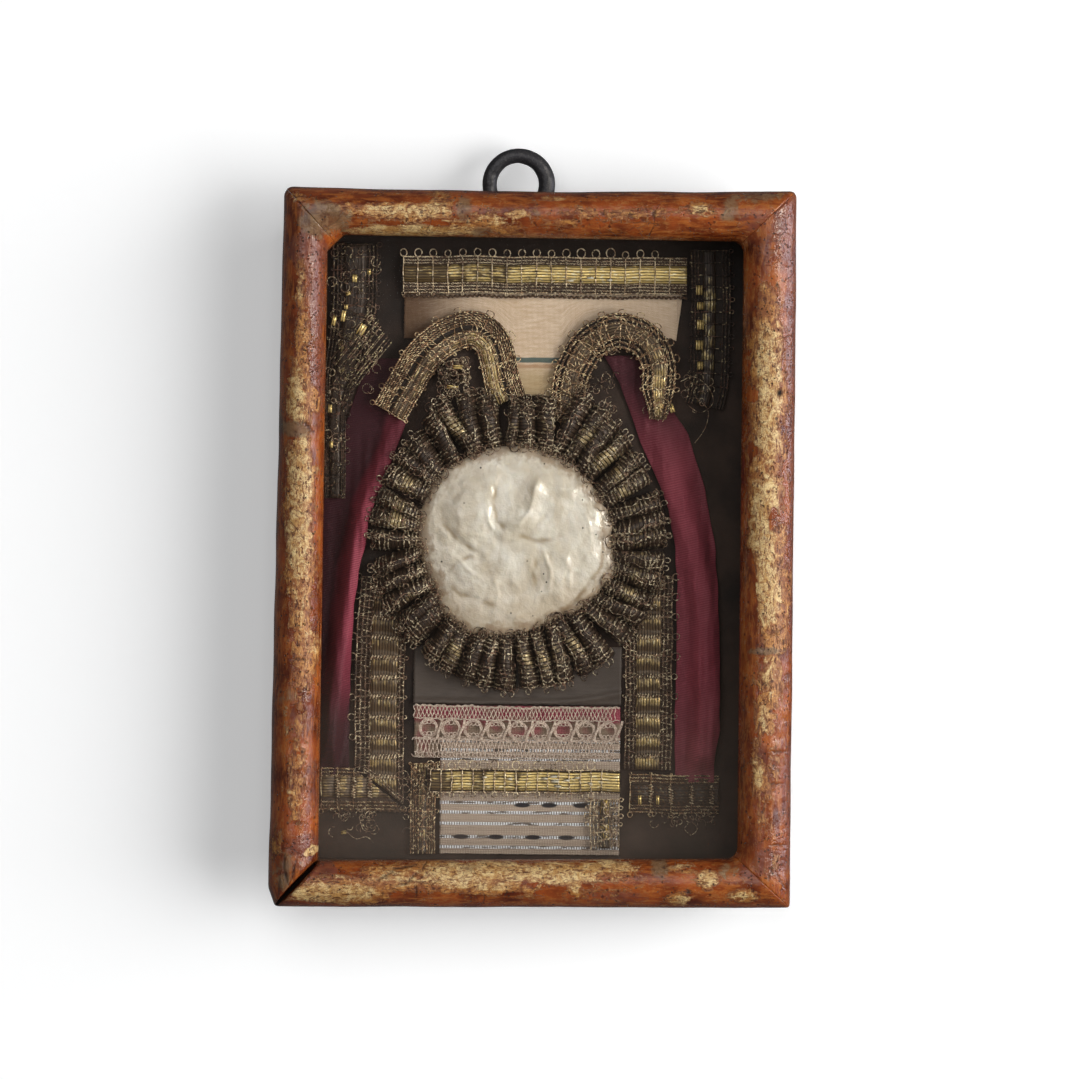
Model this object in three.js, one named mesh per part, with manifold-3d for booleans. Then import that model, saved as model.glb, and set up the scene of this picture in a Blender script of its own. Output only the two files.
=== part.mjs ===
// A small glazed reliquary to hang on a wall: a moulded wax disc framed by metal-thread
// braids and silk inside a wooden box, behind a pane held by four half-round rails.
// Millimetres, +X right, +Y towards the wall, +Z up. The back of the box is the plane y = 0,
// and every depth below is measured forward from it.

import * as THREE from "three";
import { mergeVertices } from "three/addons/utils/BufferGeometryUtils.js";
import Module from "manifold-3d";

const wasm = await Module();
wasm.setup();

// The rails: outer corners and sight corners as seen from the front, one turn clockwise.
const CORNERS = {
  topLeft: { outer: [-49.8, 70.2], sight: [-41.2, 60.9] },
  topRight: { outer: [50.3, 70.3], sight: [40.0, 60.4] },
  bottomRight: { outer: [50.4, -69.6], sight: [40.0, -60.1] },
  bottomLeft: { outer: [-50.2, -70.4], sight: [-41.8, -61.3] },
};
const OUTER_ROUNDING = { topLeft: 1.9, topRight: 1.3, bottomRight: 0.7, bottomLeft: 0.5 };
const SIGHT_CHAMFER = { topLeft: 3.2 };
const SIGHT_ROUNDING = { topRight: 2.2, bottomRight: 2.3 };
const RAIL_BACK = 14.0;
const RAIL_RISE = 8.0;
const RAIL_SIDE = 2.6;
const TOP_RAIL_SAG = 0.5;
const MITRE_GAP = 0.3;
const OPEN_MITRE = 2.2;
const LEFT_SPLAY = { outwards: 1.3, broken: 3.6 };

// The box behind the rails.
const CASE_HALF = { width: 44.7, height: 63.7 };
const INSIDE_HALF = { width: 42.2, height: 61.2 };
const GLASS_HALF = { width: 43.0, height: 62.3 };
const REBATE_CLEARANCE = 0.15;
const BACKBOARD_FRONT = 2.2;
const CARD_FRONT = 3.0;
const CARD_CLEARANCE = 0.1;
const GLASS_BACK = 12.6;

// The hanging ring and the staple that holds it to the top of the box.
const RING = { x: -4.1, depth: 6.0, z: 71.3, radius: 5.62, wire: 1.42, swell: 0.2 };
const STAPLE = { wire: 0.7, halfGap: 2.4, crown: 68.1, foot: 61.5, clearance: 0.3 };

// The wax disc, its ragged rim and the soft swellings and hollows of its worn relief.
const DISC = { x: -3.4, z: 1.3, radius: 18.8, back: CARD_FRONT, rim: 6.2, crown: 9.0 };
const RIM_WAVES = [
  { count: 1, size: 0.75, peak: 160 },
  { count: 2, size: 0.37, peak: 3 },
  { count: 3, size: 0.71, peak: -1 },
  { count: 4, size: 0.59, peak: -27 },
];
const WAX_FORMS = [
  { x: -12.0, z: 9.5, long: 8.0, wide: 6.0, turn: 30, rise: 1.0 },
  { x: -4.5, z: 9.0, long: 8.5, wide: 2.6, turn: 75, rise: 0.9 },
  { x: 3.5, z: 12.5, long: 6.5, wide: 5.0, turn: -20, rise: 0.8 },
  { x: 8.0, z: 3.5, long: 7.0, wide: 4.0, turn: 20, rise: 0.6 },
  { x: -13.5, z: -6.0, long: 7.0, wide: 4.5, turn: -25, rise: 0.8 },
  { x: -6.5, z: -11.5, long: 6.0, wide: 3.5, turn: 10, rise: 0.6 },
  { x: 3.0, z: -6.5, long: 8.0, wide: 4.5, turn: 65, rise: 1.0 },
  { x: -9.0, z: 2.0, long: 7.5, wide: 1.4, turn: -30, rise: -0.7 },
  { x: 0.5, z: 2.5, long: 7.0, wide: 1.3, turn: 25, rise: -0.6 },
  { x: -2.5, z: -7.5, long: 7.0, wide: 1.3, turn: 85, rise: -0.6 },
];

// The gathered ruffle of braid round the disc.
const RUFFLE = {
  pleats: 42, gap: 0.35, reach: 29.2, wave: 0.5,
  innerBack: 3.7, outerBack: 4.5, backStep: 21.5,
  innerFront: 7.0, crest: 9.2, rim: 6.4, pleatRise: 0.9,
};

const COLOURS = {
  lacquer: 0x8a4a26, caseWood: 0x4a3626, glass: 0xdfe6e4, iron: 0x17171a, lining: 0x1d1814,
  cream: 0xc9b6a0, grey: 0x3d3936, pink: 0xa4586a, lace: 0xc2a99b, brocade: 0xa1988f,
  braid: 0x6b5b36, brightBraid: 0xc6a64b, silk: 0x6d1f35, wax: 0xd8ccb8,
};

const reliquary = new THREE.Group();

function add(name, geometry, colour, roughness, metalness = 0) {
  const material = new THREE.MeshStandardMaterial({ color: colour, roughness, metalness });
  const mesh = new THREE.Mesh(geometry, material);
  mesh.name = name;
  reliquary.add(mesh);
  return mesh;
}

// A point from its place seen from the front and its depth in front of the wall.
function at(x, z, depth) {
  return new THREE.Vector3(x, -depth, z);
}

function mix(from, to, share) {
  return from + (to - from) * share;
}

function signedVolume(geometry) {
  const index = geometry.index;
  const position = geometry.attributes.position;
  const [a, b, c] = [new THREE.Vector3(), new THREE.Vector3(), new THREE.Vector3()];
  let volume = 0;
  for (let i = 0; i < index.count; i += 3) {
    a.fromBufferAttribute(position, index.getX(i));
    b.fromBufferAttribute(position, index.getX(i + 1));
    c.fromBufferAttribute(position, index.getX(i + 2));
    volume += a.dot(b.cross(c)) / 6;
  }
  return volume;
}

// Turns a closed surface whose faces point inwards the right way out.
function facingOut(geometry) {
  if (signedVolume(geometry) < 0) {
    const index = geometry.index;
    for (let i = 0; i < index.count; i += 3) {
      const second = index.getX(i + 1);
      index.setX(i + 1, index.getX(i + 2));
      index.setX(i + 2, second);
    }
  }
  geometry.computeVertexNormals();
  return geometry;
}

// A box with cuts at the given stops along its length, width and thickness,
// each of its corners then moved to the place that the function gives.
function bentBox(lengthStops, widthStops, place) {
  const cells = [lengthStops.length - 1, widthStops.length - 1];
  const geometry = new THREE.BoxGeometry(1, 1, 1, cells[0], cells[1], 1);
  const position = geometry.attributes.position;
  for (let i = 0; i < position.count; i += 1) {
    const along = lengthStops[Math.round((position.getX(i) + 0.5) * cells[0])];
    const across = widthStops[Math.round((position.getY(i) + 0.5) * cells[1])];
    const front = position.getZ(i) > 0 ? 1 : 0;
    const point = place(along, across, front);
    position.setXYZ(i, point.x, point.y, point.z);
  }
  return facingOut(geometry);
}

function evenStops(count) {
  return Array.from({ length: count + 1 }, (_, i) => i / count);
}

// Stops that crowd towards both edges, as the facets of a half-round do.
function roundStops(count) {
  return evenStops(count).map((share) => (1 - Math.cos(Math.PI * share)) / 2);
}

// A plate seen from the front as the given outline, between two depths.
function plate(outline, back, front, holes = []) {
  const shape = new THREE.Shape(outline.map(([x, z]) => new THREE.Vector2(x, z)));
  shape.holes = holes;
  const settings = { depth: front - back, bevelEnabled: false, curveSegments: 4 };
  const geometry = new THREE.ExtrudeGeometry(shape, settings);
  geometry.rotateX(Math.PI / 2);
  geometry.translate(0, -back, 0);
  return geometry;
}

function slab(x0, x1, z0, z1, back, front) {
  const geometry = new THREE.BoxGeometry(x1 - x0, front - back, z1 - z0);
  geometry.translate((x0 + x1) / 2, -(back + front) / 2, (z0 + z1) / 2);
  return geometry;
}

// How far a sight corner's fillet reaches over the opening, from the distance to the corner.
function filletReach(corner, distance) {
  const chamfer = SIGHT_CHAMFER[corner] ?? 0;
  const radius = SIGHT_ROUNDING[corner] ?? 0;
  if (chamfer > distance) {
    return chamfer - distance;
  }
  if (radius > distance) {
    return radius - Math.sqrt(radius ** 2 - (radius - distance) ** 2);
  }
  return 0;
}

function filletStart(corner) {
  const chamfer = SIGHT_CHAMFER[corner] ?? 0;
  const radius = SIGHT_ROUNDING[corner] ?? 0;
  return Math.max(chamfer / 2, radius * (1 - Math.SQRT1_2));
}

// Draws the outline in round an outer corner, as wear has.
function wornCorner(point, corner) {
  const radius = OUTER_ROUNDING[corner];
  const [x, z] = CORNERS[corner].outer;
  const side = new THREE.Vector2(Math.sign(x), Math.sign(z));
  const inX = radius - side.x * (x - point.x);
  const inZ = radius - side.y * (z - point.y);
  if (inX <= 0 || inZ <= 0) {
    return point;
  }
  const pull = Math.max(inX, inZ) / Math.hypot(inX, inZ);
  const centre = new THREE.Vector2(x - side.x * radius, z - side.y * radius);
  return centre.add(new THREE.Vector2(side.x * inX * pull, side.y * inZ * pull));
}

function railHeight(across) {
  const swing = 2 * across - 1;
  return RAIL_SIDE + (RAIL_RISE - RAIL_SIDE) * Math.sqrt(Math.max(0, 1 - swing ** 2));
}

// One rail from corner to corner: half-round in front, flat behind, mitred at both ends.
// A splayed rail leans outwards towards its start, where its outer tip has broken off.
function rail(from, to, { openFrom = 0, openTo = 0, sag = 0, splay = null } = {}) {
  const outer = [CORNERS[from].outer, CORNERS[to].outer].map((p) => new THREE.Vector2(...p));
  const sight = [CORNERS[from].sight, CORNERS[to].sight].map((p) => new THREE.Vector2(...p));
  const way = sight[1].clone().sub(sight[0]).normalize();
  const over = new THREE.Vector2(way.y, -way.x);
  const length = outer[0].distanceTo(outer[1]);
  const sightLength = sight[0].distanceTo(sight[1]);
  const ends = [0, 0.7, 1.4, 2.4, 3.6].map((reach) => reach / length);
  const middle = [0.2, 0.4, 0.6, 0.8];
  const stops = [...ends, ...middle, ...ends.map((share) => 1 - share).reverse()];
  const trim = MITRE_GAP / Math.SQRT2;

  function outerPoint(along) {
    const point = outer[0].clone().lerp(outer[1], along);
    point.addScaledVector(over, sag * Math.sin(Math.PI * along));
    if (splay) {
      const whole = Math.min(1, along * length / splay.broken);
      point.addScaledVector(over, -splay.outwards * (1 - along) * whole);
    }
    return wornCorner(wornCorner(point, from), to);
  }

  function sightPoint(along) {
    const reach = along * sightLength;
    const fromStart = Math.max(reach, filletStart(from));
    const fromEnd = Math.max(sightLength - reach, filletStart(to));
    const distance = along < 0.5 ? fromStart : sightLength - fromEnd;
    const tuck = filletReach(from, fromStart) + filletReach(to, fromEnd);
    return sight[0].clone().addScaledVector(way, distance).addScaledVector(over, tuck);
  }

  return bentBox(stops, roundStops(8), (along, across, front) => {
    const height = front * railHeight(across);
    const point = outerPoint(along).lerp(sightPoint(along), across);
    const lift = height / RAIL_RISE;
    const startTrim = trim + openFrom * lift;
    const endTrim = trim + openTo * lift;
    point.addScaledVector(way, mix(startTrim, -endTrim, along));
    return at(point.x, point.y, RAIL_BACK + height);
  });
}

// One board of the box's wall, with the step that the pane lies in.
// The profile runs outwards from the inside face, and the board lies along the given side.
function board(inner, step, outer, halfLength) {
  const profile = new THREE.Shape([
    new THREE.Vector2(inner, BACKBOARD_FRONT),
    new THREE.Vector2(outer, BACKBOARD_FRONT),
    new THREE.Vector2(outer, RAIL_BACK),
    new THREE.Vector2(step, RAIL_BACK),
    new THREE.Vector2(step, GLASS_BACK),
    new THREE.Vector2(inner, GLASS_BACK),
  ]);
  const geometry = new THREE.ExtrudeGeometry(profile, { depth: 2 * halfLength, bevelEnabled: false });
  geometry.translate(0, 0, -halfLength);
  return geometry;
}

// A board whose profile's two axes are the outward way and the depth.
function sideBoard(side) {
  const step = GLASS_HALF.width + REBATE_CLEARANCE;
  const geometry = board(INSIDE_HALF.width, step, CASE_HALF.width, INSIDE_HALF.height);
  const turn = new THREE.Matrix4().set(side, 0, 0, 0, 0, -1, 0, 0, 0, 0, -side, 0, 0, 0, 0, 1);
  return geometry.applyMatrix4(turn);
}

function crossBoard(side) {
  const step = GLASS_HALF.height + REBATE_CLEARANCE;
  const geometry = board(INSIDE_HALF.height, step, CASE_HALF.height, CASE_HALF.width);
  const turn = new THREE.Matrix4().set(0, 0, side, 0, 0, -1, 0, 0, side, 0, 0, 0, 0, 0, 0, 1);
  return geometry.applyMatrix4(turn);
}

function toManifold(geometry) {
  const bare = geometry.clone();
  bare.deleteAttribute("normal");
  bare.deleteAttribute("uv");
  const merged = mergeVertices(bare, 1e-4);
  const vertProperties = merged.attributes.position.array;
  const triVerts = new Uint32Array(merged.index.array);
  return new wasm.Manifold(new wasm.Mesh({ numProp: 3, vertProperties, triVerts }));
}

function fromManifold(solid) {
  const mesh = solid.getMesh();
  const geometry = new THREE.BufferGeometry();
  const places = Float32Array.from(mesh.vertProperties);
  geometry.setAttribute("position", new THREE.BufferAttribute(places, 3));
  geometry.setIndex(new THREE.BufferAttribute(Uint32Array.from(mesh.triVerts), 1));
  geometry.computeVertexNormals();
  return geometry;
}

// The top board, with a hole for each leg of the staple.
function drilledTop() {
  const radius = STAPLE.wire + STAPLE.clearance;
  let solid = toManifold(crossBoard(1));
  for (const side of [-1, 1]) {
    const drill = new THREE.CylinderGeometry(radius, radius, 6, 12);
    drill.rotateX(Math.PI / 2);
    drill.translate(RING.x, -(RING.depth + side * STAPLE.halfGap), CASE_HALF.height - 1.5);
    solid = solid.subtract(toManifold(drill));
  }
  return fromManifold(solid);
}

function hangingRing() {
  const turns = 28;
  const sides = 10;
  const geometry = new THREE.TorusGeometry(RING.radius, RING.wire, sides, turns);
  const position = geometry.attributes.position;
  for (let i = 0; i < position.count; i += 1) {
    const turn = (Math.floor(i % (turns + 1)) % turns) * (2 * Math.PI / turns);
    const side = (Math.floor(i / (turns + 1)) % sides) * (2 * Math.PI / sides);
    const wire = RING.wire + RING.swell * Math.max(0, Math.cos(turn));
    const reach = RING.radius + wire * Math.cos(side);
    const point = at(
      RING.x + reach * Math.cos(turn),
      RING.z + reach * Math.sin(turn),
      RING.depth + RING.wire * Math.sin(side),
    );
    position.setXYZ(i, point.x, point.y, point.z);
  }
  return facingOut(geometry);
}

// A U of wire: down one leg, over the ring, down the other.
function staple() {
  const path = new THREE.CurvePath();
  const spring = STAPLE.crown - STAPLE.halfGap;
  const near = RING.depth - STAPLE.halfGap;
  const far = RING.depth + STAPLE.halfGap;
  const crownPoints = evenStops(8).map((share) => {
    const turn = Math.PI * (1 - share);
    const depth = RING.depth + STAPLE.halfGap * Math.cos(turn);
    return at(RING.x, spring + STAPLE.halfGap * Math.sin(turn), depth);
  });
  const points = [at(RING.x, STAPLE.foot, near), ...crownPoints, at(RING.x, STAPLE.foot, far)];
  for (let i = 1; i < points.length; i += 1) {
    path.add(new THREE.LineCurve3(points[i - 1], points[i]));
  }
  const section = new THREE.Shape();
  section.absarc(0, 0, STAPLE.wire, 0, 2 * Math.PI, false);
  return new THREE.ExtrudeGeometry(section, { steps: 16, curveSegments: 4, extrudePath: path });
}

function rimRadius(turn) {
  let radius = DISC.radius;
  for (const wave of RIM_WAVES) {
    radius += wave.size * Math.cos(wave.count * (turn - THREE.MathUtils.degToRad(wave.peak)));
  }
  return radius;
}

function waxRelief(x, z) {
  let rise = 0;
  for (const form of WAX_FORMS) {
    const turn = THREE.MathUtils.degToRad(form.turn);
    const dx = x - form.x;
    const dz = z - form.z;
    const along = (dx * Math.cos(turn) + dz * Math.sin(turn)) / form.long;
    const across = (dz * Math.cos(turn) - dx * Math.sin(turn)) / form.wide;
    rise += form.rise * Math.exp(-2 * (along ** 2 + across ** 2));
  }
  return rise;
}

// A solid of revolution about the disc's centre, whose rings are then moved one point at a time.
function turned(profileCount, segments, closed, place) {
  const profile = [];
  for (let row = 0; row < profileCount; row += 1) {
    profile.push(new THREE.Vector2(1, row));
  }
  if (closed) {
    profile.push(new THREE.Vector2(1, 0));
  }
  const rows = profile.length;
  const geometry = new THREE.LatheGeometry(profile, segments);
  const position = geometry.attributes.position;
  for (let i = 0; i < position.count; i += 1) {
    const turn = (Math.floor(i / rows) % segments) * (2 * Math.PI / segments);
    const row = (i % rows) % profileCount;
    const point = place(row, turn);
    position.setXYZ(i, point.x, point.y, point.z);
  }
  return geometry;
}

// A lathe leaves zero-width triangles on its axis; they go before the volume is taken.
function withoutSlivers(geometry) {
  const bare = geometry.clone();
  bare.deleteAttribute("normal");
  bare.deleteAttribute("uv");
  const merged = mergeVertices(bare, 1e-4);
  const kept = [];
  for (let i = 0; i < merged.index.count; i += 3) {
    const corners = [0, 1, 2].map((step) => merged.index.getX(i + step));
    if (new Set(corners).size === 3) {
      kept.push(...corners);
    }
  }
  merged.setIndex(kept);
  return facingOut(merged);
}

function waxDisc() {
  const shares = [0, 0.9, 1, 1, 0.96, 0.86, 0.72, 0.56, 0.38, 0.2, 0];
  const depths = [0, 0, 0.25, 0.8, 1];
  const rows = shares.length;
  const geometry = turned(rows, 36, false, (row, turn) => {
    const reach = rimRadius(turn) * shares[row];
    const x = DISC.x + reach * Math.cos(turn);
    const z = DISC.z + reach * Math.sin(turn);
    if (row < depths.length) {
      return at(x, z, mix(DISC.back, DISC.rim, depths[row]));
    }
    const dome = mix(DISC.rim, DISC.crown, Math.sqrt(1 - shares[row] ** 2));
    return at(x, z, dome + waxRelief(x, z) * Math.min(1, 3 * (1 - shares[row])));
  });
  return withoutSlivers(geometry);
}

// How far out the ruffle stands: less between the two arches, where it is tucked under.
function ruffleReach(turn) {
  const up = Math.max(0, Math.cos(turn - Math.PI / 2));
  return RUFFLE.reach - 3.0 * up ** 14;
}

function ruffle() {
  const segments = 2 * RUFFLE.pleats;
  const step = 2 * Math.PI / segments;
  const geometry = turned(7, segments, true, (row, turn) => {
    const crest = Math.round(turn / step) % 2 === 0 ? 1 : -1;
    const inner = rimRadius(turn) + RUFFLE.gap;
    const outer = ruffleReach(turn) + RUFFLE.wave * crest;
    const lift = RUFFLE.pleatRise * crest;
    const section = [
      [inner, RUFFLE.innerBack],
      [inner, RUFFLE.innerFront + lift * 0.3],
      [mix(inner, outer, 0.3), RUFFLE.crest - 0.4 + lift * 0.6],
      [mix(inner, outer, 0.7), RUFFLE.crest - 0.9 + lift],
      [outer, RUFFLE.rim + lift * 0.6],
      [outer - 0.3, RUFFLE.outerBack],
      [RUFFLE.backStep, RUFFLE.outerBack],
    ];
    const [reach, depth] = section[row];
    return at(DISC.x + reach * Math.cos(turn), DISC.z + reach * Math.sin(turn), depth);
  });
  return withoutSlivers(geometry);
}

// A woven braid along a route: a raised flat middle between two lower edges of wire,
// puckered at regular steps. The ends may be cut askew, and the width may change.
function braid(route, options) {
  const { width, back = CARD_FRONT, thickness = 1.3, puckers, cutStart = 0, cutEnd = 0 } = options;
  const middle = options.middle ?? [0.27, 0.73];
  const points = route.map(([x, z]) => new THREE.Vector3(x, 0, z));
  const curve = points.length === 2
    ? new THREE.LineCurve3(...points)
    : new THREE.CatmullRomCurve3(points, false, "centripetal");
  const length = curve.getLength();
  const widthAt = typeof width === "function" ? width : () => width;
  const backAt = typeof back === "function" ? back : () => back;
  const [low, high] = middle;
  const widthStops = [0, low, high, 1];
  return bentBox(evenStops(2 * puckers), widthStops, (along, across, front) => {
    const start = cutStart * (across - 0.5) / length;
    const end = 1 + cutEnd * (across - 0.5) / length;
    const reach = Math.min(1, Math.max(0, mix(start, end, along)));
    const overshoot = (mix(start, end, along) - reach) * length;
    const centre = curve.getPointAt(reach);
    const way = curve.getTangentAt(reach);
    const crest = Math.round(along * 2 * puckers) % 2 === 0 ? -1 : 1;
    const inMiddle = across === low || across === high;
    const side = (across - 0.5) * (widthAt(along) + (inMiddle ? 0 : 0.35 * crest));
    const full = inMiddle ? 1 + 0.12 * crest : 0.62;
    return at(
      centre.x + way.x * overshoot - way.z * side,
      centre.z + way.z * overshoot + way.x * side,
      backAt(along) + front * thickness * full,
    );
  });
}

// A value that follows a list of [place, value] steps, straight between them.
function along(steps, place) {
  const last = steps.length - 1;
  if (place <= steps[0][0]) {
    return steps[0][1];
  }
  for (let i = 1; i <= last; i += 1) {
    const [x0, y0] = steps[i - 1];
    const [x1, y1] = steps[i];
    if (place <= x1) {
      return mix(y0, y1, (place - x0) / (x1 - x0));
    }
  }
  return steps[last][1];
}

// A length of silk hanging as a curtain: its two edges and the line of its rolled fold,
// each given as the places across at heights from the bottom up.
function drape({ top, bottom, left, right, fold, foldHalf, foldRise, thin }) {
  return bentBox(evenStops(14), evenStops(8), (down, across, front) => {
    const z = mix(top, bottom, down);
    const x = mix(along(left, z), along(right, z), across);
    const swing = (x - along(fold, z)) / foldHalf;
    const loose = Math.min(1, 0.2 + 3 * Math.max(0, down - 0.15));
    const roll = foldRise * Math.exp(-(swing ** 2)) * loose;
    const ripple = 0.2 * Math.sin(across * 11 + down * 3);
    return at(x, z, front ? thin + roll + ripple : CARD_FRONT);
  });
}

// The box: four boards, its backboard, the pane in the boards' step and the lining card.
function box() {
  for (const [name, side] of [["case_left", -1], ["case_right", 1]]) {
    add(name, sideBoard(side), COLOURS.caseWood, 0.8);
  }
  add("case_bottom", crossBoard(-1), COLOURS.caseWood, 0.8);
  add("case_top", drilledTop(), COLOURS.caseWood, 0.8);
  const { width, height } = CASE_HALF;
  add("backboard", slab(-width, width, -height, height, 0, BACKBOARD_FRONT), COLOURS.caseWood, 0.85);
  const pane = GLASS_HALF;
  const glass = slab(-pane.width, pane.width, -pane.height, pane.height, GLASS_BACK, RAIL_BACK);
  const mesh = add("glass_pane", glass, COLOURS.glass, 0.05);
  mesh.material.transparent = true;
  mesh.material.opacity = 0.2;
  const inX = INSIDE_HALF.width - CARD_CLEARANCE;
  const inZ = INSIDE_HALF.height - CARD_CLEARANCE;
  add("ground_card", slab(-inX, inX, -inZ, inZ, BACKBOARD_FRONT, CARD_FRONT), COLOURS.lining, 0.9);
}

function rails() {
  add("rail_top", rail("topLeft", "topRight", { sag: TOP_RAIL_SAG }), COLOURS.lacquer, 0.45);
  add("rail_right", rail("topRight", "bottomRight"), COLOURS.lacquer, 0.45);
  const bottomEnd = { openTo: OPEN_MITRE / 2 };
  add("rail_bottom", rail("bottomRight", "bottomLeft", bottomEnd), COLOURS.lacquer, 0.45);
  const leftEnd = { openFrom: OPEN_MITRE / 2, splay: LEFT_SPLAY };
  add("rail_left", rail("bottomLeft", "topLeft", leftEnd), COLOURS.lacquer, 0.45);
}

function hanger() {
  add("hanging_ring", hangingRing(), COLOURS.iron, 0.5, 0.9);
  add("ring_staple", staple(), COLOURS.iron, 0.55, 0.9);
}

// The cloths that lie flat on the card, under the braids and the lace.
function cloths() {
  const creamOutline = [
    [-27.0, 58.6], [28.4, 58.6], [28.2, 49.0], [26.9, 40.5], [21.0, 43.0], [15.0, 43.6],
    [9.0, 40.0], [6.0, 35.0], [4.6, 30.2], [-4.6, 30.2], [-6.8, 35.0], [-9.0, 40.0],
    [-15.0, 43.4], [-21.0, 41.0], [-26.6, 41.0],
  ];
  add("cream_cloth", plate(creamOutline, CARD_FRONT, 3.6), COLOURS.cream, 0.9);
  add("grey_cloth", slab(-23.7, 17.1, -30.6, -19.2, CARD_FRONT, 3.6), COLOURS.grey, 0.9);
  add("pink_ribbon", slab(-23.7, 17.1, -36.4, -30.9, CARD_FRONT, 3.7), COLOURS.pink, 0.8);
  const ribs = bentBox(evenStops(1), evenStops(16), (right, up, front) => {
    const rib = Math.round(up * 16) % 2 === 0 ? 0 : 0.18;
    return at(mix(-18.2, 17.0, right), mix(-59.9, -36.7, up), front ? 3.8 + rib : CARD_FRONT);
  });
  add("brocade_ribbon", ribs, COLOURS.brocade, 0.6, 0.2);
}

function lace() {
  const eyes = [];
  for (let i = 0; i < 9; i += 1) {
    const eye = new THREE.Path();
    eye.absellipse(-20.6 + 4.4 * i, -35.4, 1.35, 1.5, 0, 2 * Math.PI, true);
    eyes.push(eye);
  }
  const scallops = 9;
  const bottom = evenStops(2 * scallops).map((share, i) => {
    return [mix(16.9, -23.4, share), i % 2 === 0 ? -41.0 : -41.8];
  });
  const outline = [[-23.4, -31.3], [-20.0, -31.0], [10.0, -31.0], [16.9, -31.2], ...bottom];
  add("lace_strip", plate(outline.reverse(), 4.1, 4.6, eyes), COLOURS.lace, 0.85);
}

// Every straight or curved length of braid, by its route and its width.
function braids() {
  const dark = [COLOURS.braid, 0.45, 0.7];
  const bright = [COLOURS.brightBraid, 0.35, 0.8];
  const topRoute = [[-26.5, 54.0], [29.1, 54.0]];
  const topOptions = { width: 9.2, back: 3.6, puckers: 12, middle: [0.3, 0.68] };
  add("braid_top", braid(topRoute, topOptions), ...bright);

  const upperLeft = [[-36.0, 59.3], [-36.0, 47.0], [-37.2, 38.0], [-39.4, 29.0], [-39.4, 9.5]];
  const upperLeftWidth = (share) => along([[0, 9.4], [0.45, 8.4], [0.62, 4.6], [1, 4.2]], share);
  const upperLeftOptions = { width: upperLeftWidth, puckers: 13 };
  add("braid_upper_left", braid(upperLeft, upperLeftOptions), ...dark);
  const upperRight = [[33.7, 58.8], [33.7, 33.0], [32.8, 28.3]];
  add("braid_upper_right", braid(upperRight, { width: 8.0, puckers: 8 }), ...dark);

  const archLeft = [
    [-29.8, 27.2], [-26.0, 33.2], [-22.0, 39.6], [-16.5, 42.7], [-11.0, 41.6], [-8.3, 37.0],
    [-6.9, 32.4], [-5.4, 29.0],
  ];
  const archOptions = { width: 7.2, thickness: 1.4, puckers: 10 };
  const leftBack = (share) => along([[0, 5.4], [0.35, 5.2], [0.5, 3.7], [1, 3.7]], share);
  add("arch_left", braid(archLeft, { ...archOptions, back: leftBack }), ...dark);
  const archRight = [
    [5.6, 28.4], [6.0, 31.0], [6.9, 35.5], [9.8, 40.2], [15.5, 42.9], [21.0, 41.2],
    [23.6, 36.5], [23.8, 31.0], [23.7, 26.0],
  ];
  const rightWidth = (share) => along([[0, 7.4], [0.85, 7.0], [1, 3.4]], share);
  const rightBack = (share) => along([[0, 3.7], [0.35, 3.7], [0.55, 5.4], [1, 5.4]], share);
  const archRightOptions = { ...archOptions, width: rightWidth, back: rightBack, puckers: 11 };
  add("arch_right", braid(archRight, archRightOptions), ...dark);
  const curl = evenStops(6).map((share) => {
    const turn = mix(-0.6, 4.4, share);
    return [-16.3 + 2.0 * Math.cos(turn), 33.6 + 2.0 * Math.sin(turn)];
  });
  add("braid_curl", braid(curl, { width: 2.6, thickness: 2.2, puckers: 6 }), ...dark);

  const sideLeft = [[-29.3, -6.0], [-30.2, -20.0], [-30.2, -46.6]];
  add("braid_side_left", braid(sideLeft, { width: 10.2, puckers: 10, cutEnd: 8.0 }), ...dark);
  const sideRight = [[22.5, -5.2], [22.5, -43.1]];
  add("braid_side_right", braid(sideRight, { width: 9.6, puckers: 10 }), ...bright);
  const bottomLeft = [[-41.6, -47.4], [-30.2, -47.4]];
  const bottomLeftOptions = { width: 8.6, puckers: 4, cutEnd: -10.8 };
  add("braid_bottom_left", braid(bottomLeft, bottomLeftOptions), ...dark);
  const bottomRight = [[19.0, -47.8], [36.4, -47.8]];
  add("braid_bottom_right", braid(bottomRight, { width: 8.0, puckers: 4 }), ...dark);
  const band = [[-20.2, -45.6], [17.0, -45.6]];
  add("gold_band", braid(band, { width: 4.7, back: 4.5, puckers: 9, middle: [0.1, 0.9] }), ...bright);
  const shortLeft = [[-21.4, -42.3], [-21.4, -60.0]];
  add("braid_short_left", braid(shortLeft, { width: 5.4, puckers: 3 }), ...dark);
  const shortRight = [[14.1, -49.0], [14.1, -58.6]];
  add("braid_short_right", braid(shortRight, { width: 6.0, back: 4.05, puckers: 2 }), ...dark);
}

// Where the ruffle's outer edge is at a height, on its left or right side.
function ruffleSide(side, z) {
  const reach = RUFFLE.reach + RUFFLE.wave + 0.4;
  const half = Math.sqrt(Math.max(0, reach ** 2 - (z - DISC.z) ** 2));
  return DISC.x + side * half;
}

// An edge that gives way to the ruffle: the steps with their places moved clear of it.
function clearOfRuffle(steps, side) {
  return steps.map(([z, x]) => {
    const edge = ruffleSide(side, z);
    return [z, side > 0 ? Math.max(x, edge) : Math.min(x, edge)];
  });
}

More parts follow.
